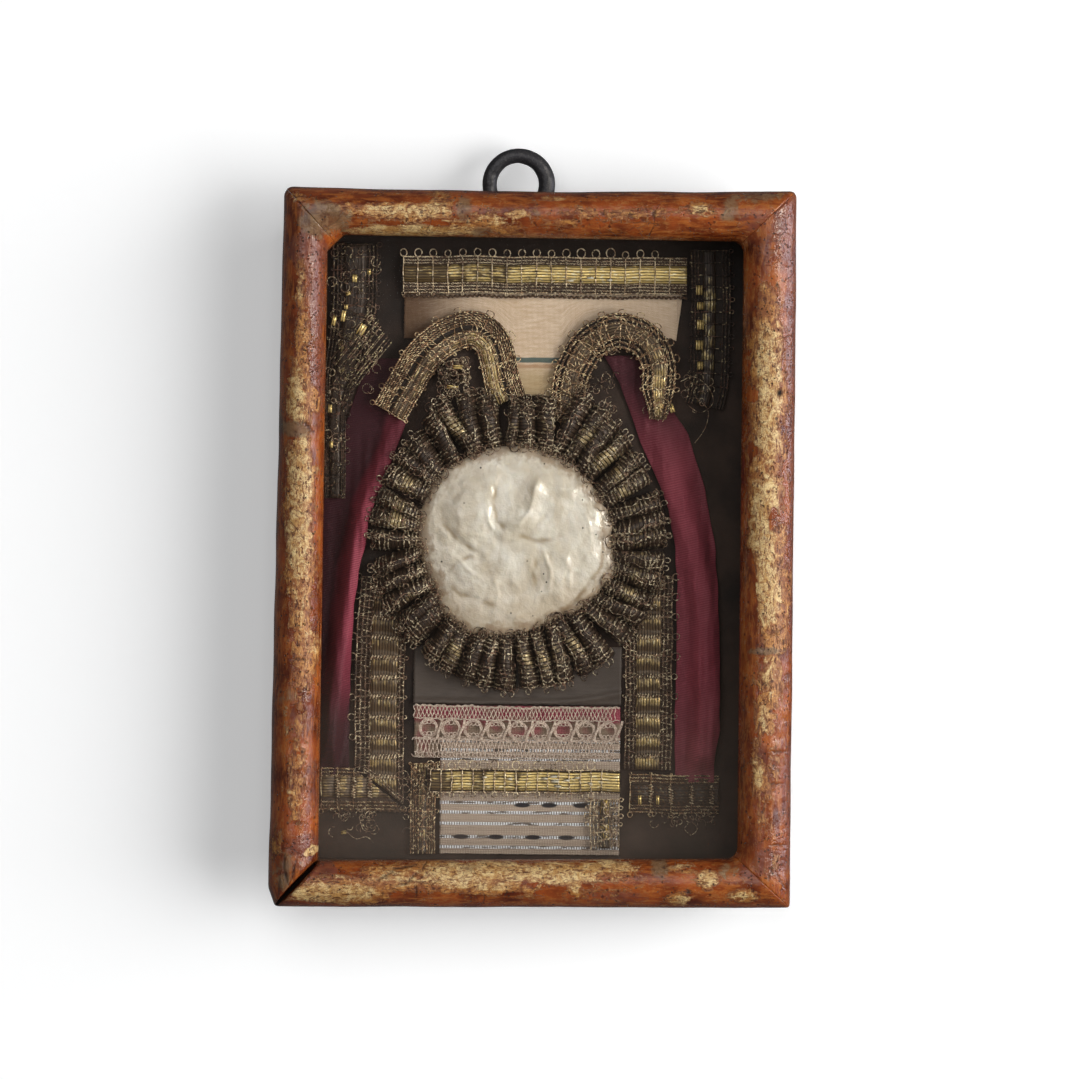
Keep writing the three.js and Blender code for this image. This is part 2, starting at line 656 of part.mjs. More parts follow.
// The two silk curtains, each between the ruffle and a side of the box.
function drapes() {
  const leftInner = [
    [-41.5, -36.0], [-20.0, -35.9], [-12.0, -35.4], [-5.0, -35.0], [0.0, -33.4], [5.0, -32.8],
    [10.0, -31.2], [15.0, -28.8], [20.0, -27.2], [27.5, -24.6], [33.0, -22.0], [37.0, -22.6],
  ];
  add("drape_left", drape({
    top: 37.0, bottom: -41.5, thin: 4.3, foldHalf: 1.9, foldRise: 2.6,
    left: [[-41.5, -41.8], [-2.0, -41.8], [4.0, -36.7], [27.0, -36.7], [32.0, -34.0], [37.0, -31.6]],
    right: clearOfRuffle(leftInner, -1),
    fold: [
      [-41.5, -40.4], [-32.0, -39.6], [-22.0, -38.4], [-10.0, -37.0], [0.0, -35.3],
      [8.0, -33.6], [18.0, -29.9], [30.0, -25.0], [37.0, -23.0],
    ],
  }), COLOURS.silk, 0.5);
  const rightInner = [
    [-42.0, 27.8], [-5.0, 27.8], [0.0, 27.4], [3.0, 26.9], [8.0, 25.9], [12.0, 24.4],
    [17.0, 22.3], [21.0, 20.4], [26.0, 18.6], [33.0, 15.9], [38.0, 13.0],
  ];
  add("drape_right", drape({
    top: 38.0, bottom: -42.0, thin: 4.3, foldHalf: 2.4, foldRise: 2.2,
    left: clearOfRuffle(rightInner, 1),
    right: [
      [-42.0, 35.4], [-35.0, 36.6], [-25.0, 36.5], [-10.0, 36.0], [0.0, 35.3], [12.0, 33.0],
      [18.0, 31.2], [23.0, 29.6], [27.5, 26.4], [30.0, 23.5], [38.0, 19.4],
    ],
    fold: [
      [-42.0, 33.4], [-30.0, 35.0], [-22.0, 33.2], [-14.0, 34.0], [0.0, 31.2],
      [10.0, 27.8], [18.0, 26.0], [38.0, 16.0],
    ],
  }), COLOURS.silk, 0.5);
}

rails();
box();
hanger();
cloths();
lace();
braids();
drapes();
add("ruffle", ruffle(), COLOURS.braid, 0.45, 0.7);
add("wax_disc", waxDisc(), COLOURS.wax, 0.4);

export default reliquary;
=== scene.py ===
"""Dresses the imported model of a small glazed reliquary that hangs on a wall.

Four half-round rails with worn gilding hold a pane over a shallow wooden box. In the box a
moulded wax disc sits in a gathered ruffle, between two silk curtains, with woven braids of
metal thread, a strip of lace and several cloths around it. Sizes in the classes are in
millimetres; every piece is brought to metres when it is shown. +X is to the right, +Y goes
into the wall and +Z is up, and a depth is measured forward from the wall.
"""

import functools
import logging
import math
import random
from collections.abc import Callable, Sequence
from dataclasses import dataclass
from enum import Enum

import bmesh
import bpy
from mathutils import Matrix, Vector, noise


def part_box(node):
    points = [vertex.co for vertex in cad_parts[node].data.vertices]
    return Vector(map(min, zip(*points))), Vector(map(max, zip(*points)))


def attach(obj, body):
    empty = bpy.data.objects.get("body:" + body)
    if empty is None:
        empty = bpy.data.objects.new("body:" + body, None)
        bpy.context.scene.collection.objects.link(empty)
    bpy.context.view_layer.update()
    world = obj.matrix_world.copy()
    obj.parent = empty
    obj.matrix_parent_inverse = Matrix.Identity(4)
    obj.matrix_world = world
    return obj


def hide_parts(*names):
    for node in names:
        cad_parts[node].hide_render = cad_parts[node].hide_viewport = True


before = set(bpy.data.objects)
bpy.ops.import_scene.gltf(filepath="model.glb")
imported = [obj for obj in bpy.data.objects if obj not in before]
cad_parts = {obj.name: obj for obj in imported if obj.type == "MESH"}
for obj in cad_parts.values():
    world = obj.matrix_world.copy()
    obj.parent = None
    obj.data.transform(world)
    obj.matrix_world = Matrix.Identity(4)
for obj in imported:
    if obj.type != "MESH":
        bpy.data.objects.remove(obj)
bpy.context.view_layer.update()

log = logging.getLogger("reliquary")

METRES = 0.001
CARD_FRONT = 3.0
Steps = Sequence[tuple[float, float]]
Spot = tuple[float, float]
Place = Callable[[float, float], Vector]
Tones = dict[str, Callable[[float, float], float]]
Wear = dict["Worn", Sequence[tuple[float, ...]]]


def at(x: float, z: float, depth: float) -> Vector:
    """Returns the point at a place seen from the front and a depth before the wall."""
    return Vector((x, -depth, z))


def mix(start: float, end: float, share: float) -> float:
    """Returns the value at a share of the way from start to end."""
    return start + (end - start) * share


def ease(start: float, end: float, value: float) -> float:
    """Returns a smooth rise from 0 at start to 1 at end."""
    share = min(1.0, max(0.0, (value - start) / (end - start)))
    return share * share * (3.0 - 2.0 * share)


def bell(value: float, width: float) -> float:
    """Returns a soft hump of height 1 at 0 that has fallen to 0.37 at the width."""
    return math.exp(-((value / width) ** 2))


def follow(steps: Steps, place: float) -> float:
    """Returns the value at a place on a list of (place, value) steps, straight between them.

    Args:
        steps: the places and their values, in rising order.
        place: where the value is asked.

    Returns:
        The value there.
    """
    if place <= steps[0][0]:
        return steps[0][1]
    for (x0, y0), (x1, y1) in zip(steps, steps[1:]):
        if place <= x1:
            return mix(y0, y1, (place - x0) / (x1 - x0))
    return steps[-1][1]


def drift(x: float, z: float, size: float, seed: float = 0.0) -> float:
    """Returns gentle unevenness from -1 to 1 whose swells are about the size across."""
    return noise.noise(Vector((x / size, z / size, seed * 7.31 + 0.5)))


def paint(hexed: str) -> tuple[float, float, float, float]:
    """Returns a colour for a shader from six hexadecimal digits.

    Args:
        hexed: the six digits.

    Returns:
        Its linear red, green and blue, and full cover.
    """
    parts = [int(hexed[i : i + 2], 16) / 255 for i in (0, 2, 4)]
    linear = [p / 12.92 if p <= 0.04045 else ((p + 0.055) / 1.055) ** 2.4 for p in parts]
    return (linear[0], linear[1], linear[2], 1.0)


class Level:
    """A shader socket that takes part in Python expressions."""

    def __init__(self, kit: "Kit", socket: bpy.types.NodeSocket | None) -> None:
        """Keeps the socket and the material kit that it belongs to."""
        self.kit = kit
        self.socket = socket

    def through(self, operation: str, *others: "Level | float") -> "Level":
        """Adds a Math node on this socket and the others."""
        return self.kit.number(operation, self, *others)

    def __add__(self, other: "Level | float") -> "Level":
        """Adds."""
        return self.through("ADD", other)

    __radd__ = __add__

    def __mul__(self, other: "Level | float") -> "Level":
        """Multiplies."""
        return self.through("MULTIPLY", other)

    __rmul__ = __mul__

    def __sub__(self, other: "Level | float") -> "Level":
        """Takes the other away."""
        return self.through("SUBTRACT", other)

    def __rsub__(self, other: float) -> "Level":
        """Takes this away from the other."""
        return self.kit.number("SUBTRACT", other, self)

    def __truediv__(self, other: "Level | float") -> "Level":
        """Divides."""
        return self.through("DIVIDE", other)

    def rise(self, start: float, end: float) -> "Level":
        """Returns a smooth step from 0 at start to 1 at end.

        Args:
            start: the value where the step begins.
            end: the value where it ends.

        Returns:
            The step's share.
        """
        settings = {"interpolation_type": "SMOOTHSTEP"}
        sockets = {"Value": self, "From Min": start, "From Max": end}
        return self.kit.node("ShaderNodeMapRange", settings, sockets)

    def most(self, other: "Level | float") -> "Level":
        """Returns the larger of the two."""
        return self.through("MAXIMUM", other)


class Kit:
    """The nodes of one material."""

    def __init__(self, name: str) -> None:
        """Starts an empty material.

        Args:
            name: the material's name.
        """
        self.material = bpy.data.materials.new(name)
        self.material.use_nodes = True
        self.tree = self.material.node_tree
        self.tree.nodes.clear()

    def node(
        self, kind: str, settings: dict | None = None, sockets: dict | None = None,
        output: int | str = 0,
    ) -> Level:
        """Adds a node.

        Args:
            kind: the node's type.
            settings: its properties.
            sockets: values or links by socket name or number.
            output: which output is wanted.

        Returns:
            The wanted output.
        """
        made = self.tree.nodes.new(kind)
        for key, value in (settings or {}).items():
            setattr(made, key, value)
        for key, value in (sockets or {}).items():
            if isinstance(value, Level):
                self.tree.links.new(value.socket, made.inputs[key])
            else:
                made.inputs[key].default_value = value
        return Level(self, made.outputs[output] if made.outputs else None)

    def number(self, operation: str, *values: Level | float) -> Level:
        """Adds a Math node on the values."""
        return self.node("ShaderNodeMath", {"operation": operation}, dict(enumerate(values)))

    def blend(self, share: Level | float, low: Level | str, high: Level | str) -> Level:
        """Mixes two colours, each a socket or six hexadecimal digits.

        Args:
            share: how much of the second is taken.
            low: the first colour.
            high: the second colour.

        Returns:
            The mixed colour.
        """
        low, high = (paint(side) if isinstance(side, str) else side for side in (low, high))
        settings = {"data_type": "RGBA", "blend_type": "MIX", "clamp_factor": True}
        return self.node("ShaderNodeMix", settings, {0: share, 6: low, 7: high}, 2)

    def coats(self, colour: Level, *coats: tuple[Level | float, Level | str]) -> Level:
        """Lays coats of colour over a first one.

        Args:
            colour: the first colour.
            coats: the share and the colour of each coat, in order.

        Returns:
            The colour that shows.
        """
        for share, coat in coats:
            colour = self.blend(share, colour, coat)
        return colour

    def spot(self, stretch: Sequence[float] = (1, 1, 1)) -> Level:
        """Returns the place on the object in millimetres, drawn out along its axes.

        Args:
            stretch: how far each axis is drawn out.

        Returns:
            The place.
        """
        source = self.node("ShaderNodeTexCoord", None, None, "Object")
        scale = [1.0 / (METRES * part) for part in stretch]
        return self.node("ShaderNodeMapping", None, {"Vector": source, "Scale": scale})

    def weave_map(self, stretch: Sequence[float] = (1, 1, 1)) -> Level:
        """Returns the piece's own map, in millimetres along and across the cloth.

        Args:
            stretch: how far each axis is drawn out.

        Returns:
            The place on the map.
        """
        source = self.node("ShaderNodeUVMap", {"uv_map": "weave"}, None, "UV")
        scale = [1.0 / part for part in stretch]
        return self.node("ShaderNodeMapping", None, {"Vector": source, "Scale": scale})

    def kept(self, name: str) -> Level:
        """Returns a number that the mesh carries under the name."""
        return self.node("ShaderNodeAttribute", {"attribute_name": name}, None, "Fac")

    def axis(self, vector: Level, name: str) -> Level:
        """Returns one part of a vector."""
        return self.node("ShaderNodeSeparateXYZ", None, {"Vector": vector}, name)

    def cloud(
        self, vector: Level, size: float, detail: float = 3.0, rough: float = 0.55,
        bend: float = 0.0,
    ) -> Level:
        """Returns soft noise from 0 to 1.

        Args:
            vector: where it is read, in millimetres.
            size: about how wide its swells are.
            detail: how many finer layers it has.
            rough: how strong they are.
            bend: how far it is swirled.

        Returns:
            The noise's height.
        """
        sockets = {
            "Vector": vector, "Scale": 1.0 / size, "Detail": detail,
            "Roughness": rough, "Distortion": bend,
        }
        return self.node("ShaderNodeTexNoise", None, sockets)

    def cells(self, vector: Level, size: float, feature: str = "F1") -> Level:
        """Returns the distance field of scattered cells of about that size.

        Args:
            vector: the place.
            size: how wide a cell is, in millimetres.
            feature: what is measured in a cell.

        Returns:
            The distance.
        """
        settings = {"feature": feature}
        sockets = {"Vector": vector, "Scale": 1.0 / size}
        return self.node("ShaderNodeTexVoronoi", settings, sockets, "Distance")

    def ribs(self, vector: Level, size: float, axis: str = "X") -> Level:
        """Returns even waves from 0 to 1 with that spacing along one axis."""
        waves = self.axis(vector, axis) * (2 * math.pi / size)
        return waves.through("SINE") * 0.5 + 0.5

    def bump(self, height: Level) -> Level:
        """Returns a normal raised by a height in millimetres."""
        return self.node("ShaderNodeBump", None, {"Height": height, "Distance": METRES})

    def finish(self, sockets: dict) -> bpy.types.Material:
        """Closes the material with one surface shader.

        Args:
            sockets: the shader's values and links.

        Returns:
            The finished material.
        """
        shader = self.node("ShaderNodeBsdfPrincipled", None, sockets)
        return self.close(shader)

    def close(self, shader: Level) -> bpy.types.Material:
        """Joins a shader to the output and returns the material."""
        self.node("ShaderNodeOutputMaterial", None, {"Surface": shader})
        return self.material


@dataclass(frozen=True)
class Finish:
    """A surface finish; each kind makes its own material."""

    name: str

    def make(self, kit: Kit) -> bpy.types.Material:
        raise NotImplementedError


@functools.cache
def dressed(finish: Finish) -> bpy.types.Material:
    """Returns the one material of a finish."""
    return finish.make(Kit(finish.name))


@dataclass(frozen=True)
class WornGilding(Finish):
    """Red-brown lacquer over gesso with rubbed gilding, pits and crackle, streaked along a rail,
    with a painted purple-grey sheen.
    """

    along: str = "Z"

    DRAWN = 5.0
    NICKED = 2.8

    def make(self, kit: Kit) -> bpy.types.Material:
        """Builds the material from the patches that the rails carry.

        Args:
            kit: the material's nodes.

        Returns:
            The material.
        """
        place = kit.spot()
        axis = "XYZ".index(self.along)
        drawn, nicked = [1.0] * 3, [1.0] * 3
        drawn[axis], nicked[axis] = self.DRAWN, self.NICKED
        wide = kit.cloud(place, 7.0, 4.0)
        streak = kit.cloud(kit.spot(drawn), 1.0, 6.0, 0.66, 0.5)
        patchy = kit.cloud(place, 2.2, 6.0, 0.7, 0.8)
        fine = kit.cloud(place, 0.34, 4.0, 0.65)
        nicks = kit.cloud(kit.spot(nicked), 0.5, 5.0, 0.7, 1.0)
        mixed = (streak - 0.5) * 2.1 + (patchy - 0.5) * 2.1 + (fine - 0.5) * 0.4
        gold = kit.kept("gold") + mixed
        worn = gold.rise(0.42, 0.54)
        pale = (kit.kept("pale") + mixed * 0.8).rise(0.2, 0.7)
        dusk = (kit.kept("dusk") + (wide - 0.5) * 0.8 + (patchy - 0.5) * 2.4).rise(0.3, 0.95)
        # Painted sheen: a purple-grey tint where the window is reflected along the lit flanks;
        # there the lacquer is also smoother and pitted.
        plum_sheen = (kit.kept("plum_sheen") + (patchy - 0.5) * 1.6).rise(0.3, 0.7)
        scratched = (nicks + (wide - 0.5) * 0.3).rise(0.53, 0.58) * patchy.rise(0.4, 0.55)
        lacquer = kit.coats(
            kit.blend(wide.rise(0.3, 0.7), "501c08", "96461a"),
            (streak.rise(0.45, 0.62) * 0.6, "b0642a"), (fine.rise(0.55, 0.75) * 0.4, "361508"),
            # This purple-grey coat paints that sheen.
            (scratched * 0.3, "b8854a"), (plum_sheen * 0.6, "6b3f36"),
        )
        ochre = kit.blend(patchy.rise(0.38, 0.6), "8a5022", "bb803c")
        cream = kit.blend(patchy.rise(0.4, 0.6), "b78a4c", "dcbf86")
        chipped = (nicks - pale * 0.02).rise(0.57, 0.605) * worn
        veins = (kit.cloud(place, 1.5, 5.0, 0.62, 1.2) - 0.5).through("ABSOLUTE")
        gilded = kit.coats(
            kit.blend(pale, ochre, cream),
            (fine.rise(0.58, 0.7) * 0.5, "f0deb2"), (nicks.rise(0.48, 0.56) * 0.7, "8a4f22"),
            (chipped * 0.9, "40190a"), ((1.0 - veins.rise(0.004, 0.03)) * 0.75, "6a3216"),
        )
        rubbed = worn * (1.0 - gold.rise(0.6, 0.95)) * streak.rise(0.4, 0.52)
        filler = kit.blend(patchy.rise(0.4, 0.6), "54412f", "826a4d")
        pocked = kit.cloud(place, 3.0).rise(0.5, 0.6).most(plum_sheen)
        pits = (1.0 - kit.cells(place, 0.85).rise(0.15, 0.26)) * pocked
        craze = kit.cells(place, 3.4, "DISTANCE_TO_EDGE") + (patchy - 0.5) * 0.16
        lines = (1.0 - craze.rise(0.004, 0.022)) * kit.cloud(place, 8.0, 1.0).rise(0.56, 0.64)
        dots = (1.0 - kit.cells(place, 2.3).rise(0.1, 0.17)) * wide.rise(0.44, 0.52)
        marks = pits.most(lines * 0.5).most(kit.kept("crack"))
        colour = kit.coats(
            kit.blend(worn, lacquer, gilded), (rubbed * 0.6, "6b2d12"), (dusk * 0.72, filler),
            (dots * 0.7, "3a130a"), (marks * 0.85, "1c0f08"),
        )
        rough = worn * 0.34 + (fine - 0.5) * 0.16 + marks * 0.3 + 0.17 - plum_sheen * 0.04
        grain = kit.cloud(place, 1.2, 3.0, 0.55)
        height = worn * 0.05 + (patchy - 0.5) * 0.1 + (streak - 0.5) * 0.08 - chipped * 0.1
        height = height + (fine - 0.5) * 0.04 - marks * 0.16 + (plum_sheen * 0.14 + 0.04) * (grain - 0.5)
        return kit.finish({
            "Base Color": colour, "Roughness": rough, "IOR": 1.55, "Normal": kit.bump(height),
        })


@dataclass(frozen=True)
class AgedWood(Finish):
    """Bare softwood gone dark, with its grain along one axis."""

    along: str = "Z"

    DRAWN = 26.0

    def make(self, kit: Kit) -> bpy.types.Material:
        """Builds the grain as noise drawn out along the board.

        Args:
            kit: the material's nodes.

        Returns:
            The material.
        """
        stretch = [1.0] * 3
        stretch["XYZ".index(self.along)] = self.DRAWN
        grain = kit.cloud(kit.spot(stretch), 1.1, 6.0, 0.62, 0.3)
        broad = kit.cloud(kit.spot(), 17.0, 3.0)
        pores = kit.cloud(kit.spot(stretch), 0.32, 2.0)
        colour = kit.coats(
            kit.blend(grain.rise(0.3, 0.72), "3a281a", "6d4d31"),
            (broad.rise(0.35, 0.75) * 0.6, "46301f"), (pores.rise(0.6, 0.75) * 0.5, "1c120b"),
        )
        height = (grain - 0.5) * 0.12 + (pores - 0.5) * 0.05
        rough = 0.68 + (pores - 0.5) * 0.2
        return kit.finish({"Base Color": colour, "Roughness": rough, "Normal": kit.bump(height)})


@dataclass(frozen=True)
class ClearGlass(Finish):
    """An old pane, clear with a faint bloom."""

    def make(self, kit: Kit) -> bpy.types.Material:
        """Builds the pane with a bloom that gathers in its lower corners.

        Args:
            kit: the material's nodes.

        Returns:
            The material.
        """
        place = kit.spot()
        x, z = kit.axis(place, "X"), kit.axis(place, "Z")
        cloud = kit.cloud(place, 16.0, 4.0)
        low = 1.0 - (z + x.through("ABSOLUTE") * -0.55).rise(-72.0, -40.0)
        bloom = cloud * 0.012 + low * cloud * 0.13 + 0.004
        return kit.finish({
            "Base Color": paint("8a7a6c"), "Roughness": 0.06, "IOR": 1.5, "Alpha": bloom,
        })


@dataclass(frozen=True)
class BlackIron(Finish):
    """Hand-worked iron wire, blackened and rubbed."""

    def make(self, kit: Kit) -> bpy.types.Material:
        """Builds the metal with hammer marks and a little rust.

        Args:
            kit: the material's nodes.

        Returns:
            The material.
        """
        place = kit.spot()
        dents = kit.cloud(place, 1.6, 2.0)
        grit = kit.cloud(place, 0.25, 3.0)
        colour = kit.blend(grit.rise(0.45, 0.75), "323134", "524e4d")
        colour = kit.blend(kit.cloud(place, 2.4).rise(0.62, 0.74) * 0.5, colour, "3a2418")
        height = (dents - 0.5) * 0.22 + (grit - 0.5) * 0.04
        return kit.finish({
            "Base Color": colour, "Roughness": 0.42 + (grit - 0.5) * 0.3, "Metallic": 0.35,
            "Normal": kit.bump(height),
        })


@dataclass(frozen=True)
class WovenCloth(Finish):
    """Plain or twilled cloth: threads both ways, unevenly dyed, with a dim colour that is a stain
    on one cloth and painted shade on the drapes.
    """

    shade: str = "b8a48c"
    light: str = "d4c3ad"
    thread: float = 0.36
    depth: float = 0.05
    sheen: float = 0.15
    rough: float = 0.85
    twill: bool = False
    stripe: str = ""
    tint: str = "ffffff"
    dim: str = ""
    slant: float = 0.5

    def make(self, kit: Kit) -> bpy.types.Material:
        """Builds the weave on the cloth's own map.

        Args:
            kit: the material's nodes.

        Returns:
            The material.
        """
        place = kit.weave_map()
        spread = kit.cloud(kit.spot(), 6.0, 4.0)
        slubs = kit.cloud(kit.weave_map((5, 1, 1)), 0.5, 3.0)
        if self.twill:
            sockets = {"Vector": place, "Rotation": (0, 0, self.slant)}
            weave = kit.ribs(kit.node("ShaderNodeMapping", None, sockets), self.thread)
        else:
            weave = kit.ribs(place, self.thread) * kit.ribs(place, self.thread, "Y") * 1.2
            weave = weave + (slubs - 0.5) * 0.7
        colour = kit.blend(weave * 0.7 + slubs * 0.3, self.shade, self.light)
        colour = kit.blend(spread.rise(0.3, 0.75) * 0.36, colour, self.shade)
        if self.stripe:
            colour = self._striped(kit, colour, slubs)
        # The dim colour is a real stain on the pink silk and painted shade on the silk drapes.
        if self.dim:
            colour = kit.blend(kit.kept("dim"), colour, self.dim)
        height = weave * self.depth + (slubs - 0.5) * self.depth
        return kit.finish({
            "Base Color": colour, "Roughness": self.rough, "Sheen Weight": self.sheen,
            "Sheen Roughness": 0.4, "Sheen Tint": paint(self.tint), "Specular IOR Level": 0.2,
            "Normal": kit.bump(height),
        })

    def _striped(self, kit: Kit, colour: Level, slubs: Level) -> Level:
        """Lays the narrow woven stripe across the cloth, with a yellowed ground below it.

        Args:
            kit: the material's nodes.
            colour: the cloth's colour.
            slubs: how uneven its threads are, from 0 to 1.

        Returns:
            The colour with its stripe.
        """
        height = kit.axis(kit.spot(), "Z") + (slubs - 0.5) * 0.35
        band = height.rise(36.35, 36.6) * (1.0 - height.rise(37.35, 37.6))
        foxed = (1.0 - height.rise(33.0, 37.0)) * 0.55
        under = height.rise(35.2, 35.6) * (1.0 - height.rise(35.9, 36.3))
        brown = 1.0 - (kit.axis(kit.spot(), "X") + (slubs - 0.5) * 4.0).rise(-25.0, -8.0)
        return kit.coats(
            colour, (foxed, "a88f5c"), (under * 0.5, "a06a3a"), (brown * 0.9, "4a2e19"),
            (band * 0.85, self.stripe),
        )


@dataclass(frozen=True)
class DullLining(Finish):
    """The dark card behind everything, dusty and stained."""

    def make(self, kit: Kit) -> bpy.types.Material:
        """Builds the card with a little lint, and painted shade towards the top.

        Args:
            kit: the material's nodes.

        Returns:
            The material.
        """
        place = kit.spot()
        stain = kit.cloud(place, 11.0, 4.0)
        lint = kit.cloud(place, 0.4, 4.0)
        # Painted shade: the card darkens towards the top.
        high = kit.axis(place, "Z").rise(20.0, 62.0)
        colour = kit.coats(
            kit.blend(stain.rise(0.3, 0.7), "1f1713", "3e2f26"),
            (high * 0.75, "120c09"), (lint.rise(0.66, 0.78) * 0.4, "65564a"),
        )
        return kit.finish({
            "Base Color": colour, "Roughness": 0.9, "Normal": kit.bump((lint - 0.5) * 0.08),
        })


@dataclass(frozen=True)
class GiltStrip(Finish):
    """Flat gilt strips side by side, bright in places and tarnished in others, with painted glints.
    """

    dull: str = "33291a"
    bright: str = "d9b35a"
    pitch: float = 0.55

    def make(self, kit: Kit) -> bpy.types.Material:
        """Builds the metal from the brightness that the braid carries, painted light and shade
        included.

        Args:
            kit: the material's nodes.

        Returns:
            The material.
        """
        place = kit.weave_map()
        flecks = kit.cloud(kit.weave_map((4, 1, 1)), 0.4, 3.0)
        blots = kit.cloud(kit.spot(), 2.2, 3.0)
        shine = (kit.kept("bright") + (flecks - 0.5) * 1.7 + (blots - 0.5) * 1.2).rise(0.2, 0.9)
        # Painted highlights: near-white glints on the brighter strips.
        glint = shine * kit.cloud(kit.weave_map((2.2, 1, 1)), 0.5, 2.0).rise(0.56, 0.64)
        colour = kit.blend(glint * 0.8, kit.blend(shine, self.dull, self.bright), "fff1c4")
        gaps = kit.ribs(place, self.pitch, "Y").rise(0.0, 0.28)
        colour = kit.blend(gaps, "1c120a", colour)
        height = gaps * 0.09 + (flecks - 0.5) * 0.1
        return kit.finish({
            "Base Color": colour, "Metallic": shine * 0.35 + 0.15,
            "Roughness": 0.42 - shine * 0.16, "Normal": kit.bump(height),
        })


@dataclass(frozen=True)
class GiltWire(Finish):
    """Fine wire wound on thread: tarnished brown, with painted bright glints."""

    dull: str = "3a2d1c"
    middle: str = "7d6650"
    bright: str = "e8d6b0"
    share: float = 0.5

    def make(self, kit: Kit) -> bpy.types.Material:
        """Builds the wire with dark and lighter lengths, coppery in places, painted glints and a
        beaded winding.

        Args:
            kit: the material's nodes.

        Returns:
            The material.
        """
        place = kit.spot()
        regions = kit.cloud(place, 6.0, 2.0)
        lengths = kit.cloud(place, 0.8, 2.0) + (regions - 0.5) * 0.4
        sparks = kit.cloud(place, 0.42, 1.0) + (regions - 0.5) * 0.3 + (self.share - 0.5) * 0.16
        copper = kit.cloud(place, 3.4).rise(0.45, 0.65)
        middle = kit.blend(copper * 0.6, self.middle, "8d6450")
        # Painted highlights: near-white glints where the noise runs high.
        shine = sparks.rise(0.55, 0.6)
        colour = kit.blend(lengths.rise(0.42, 0.56), self.dull, middle)
        colour = kit.blend(shine, colour, self.bright)
        beads = kit.cloud(place, 0.16, 1.0)
        return kit.finish({
            "Base Color": colour, "Metallic": 0.3, "Roughness": 0.34 - shine * 0.16,
            "Normal": kit.bump((beads - 0.5) * 0.12),
        })


@dataclass(frozen=True)
class PlainThread(Finish):
    """Matt thread, such as the core of a braid or the yarn of a lace."""

    shade: str = "241b12"
    light: str = "3a2d1f"
    rough: float = 0.85
    sheen: float = 0.1

    def make(self, kit: Kit) -> bpy.types.Material:
        """Builds the thread with a fine fuzz.

        Args:
            kit: the material's nodes.

        Returns:
            The material.
        """
        fuzz = kit.cloud(kit.spot(), 0.3, 3.0)
        colour = kit.blend(fuzz.rise(0.3, 0.7), self.shade, self.light)
        return kit.finish({
            "Base Color": colour, "Roughness": self.rough, "Sheen Weight": self.sheen,
            "Normal": kit.bump((fuzz - 0.5) * 0.08),
        })


@dataclass(frozen=True)
class OldWax(Finish):
    """Cream wax, handled smooth, with specks, brown dirt round its edge and painted shade in its
    hollows.
    """

    def make(self, kit: Kit) -> bpy.types.Material:
        """Builds the wax so that light goes a little way into it.

        Args:
            kit: the material's nodes.

        Returns:
            The material.
        """
        place = kit.spot()
        veins = kit.cloud(place, 5.0, 4.0, 0.5, 0.8)
        mottle = kit.cloud(place, 1.4, 3.0)
        low = 1.0 - (kit.axis(place, "Z") + (veins - 0.5) * 8.0).rise(-13.0, -1.0)
        soiled = kit.kept("edge") + (mottle - 0.5) * 1.4 + (veins - 0.5) * 1.2
        specks = (1.0 - kit.cells(place, 2.7).rise(0.06, 0.08)) * mottle.rise(0.42, 0.5)
        colour = kit.coats(
            kit.blend(veins.rise(0.3, 0.7), "c9bda6", "e2dac8"), (low * 0.35, "b8a184"),
            # Painted shade in the wax's hollows; the next coat colours its sunken creases brown.
            (kit.kept("hollow_shade").rise(0.1, 0.9) * 0.4, "a8926f"), (kit.kept("seam") * 0.6, "8f7750"),
            (soiled.rise(0.35, 1.0) * 0.7, "8c704f"), (specks * 0.9, "1e1712"),
        )
        height = (mottle - 0.5) * 0.2 + (kit.cloud(place, 0.35) - 0.5) * 0.02
        return kit.finish({
            "Base Color": colour, "Roughness": 0.34 + (mottle - 0.5) * 0.16,
            "Subsurface Weight": 0.2, "Subsurface Radius": (1.0, 0.75, 0.5),
            "Subsurface Scale": 0.0005, "Coat Weight": 0.45, "Coat Roughness": 0.08,
            "Normal": kit.bump(height),
        })


@dataclass(frozen=True)
class Plaster(Finish):
    """The pale smooth surface of the wall or the floor."""

    shade: str = "f2f2f2"
    glow: float = 0.28

    def make(self, kit: Kit) -> bpy.types.Material:
        """Builds a matt wall that is only there when it is looked at from the front.

        Args:
            kit: the material's nodes.

        Returns:
            The material.
        """
        colour = {"Color": paint(self.shade)}
        matt = kit.node("ShaderNodeBsdfDiffuse", None, colour)
        glow = kit.node("ShaderNodeEmission", None, {**colour, "Strength": self.glow})
        matt = kit.node("ShaderNodeAddShader", None, {0: matt, 1: glow})
        clear = kit.node("ShaderNodeBsdfTransparent")
        front = 1.0 - kit.node("ShaderNodeNewGeometry", None, None, "Backfacing")
        seen = kit.node("ShaderNodeLightPath", None, None, "Is Camera Ray")
        shader = kit.node("ShaderNodeMixShader", None, {0: front * seen, 1: clear, 2: matt})
        return kit.close(shader)


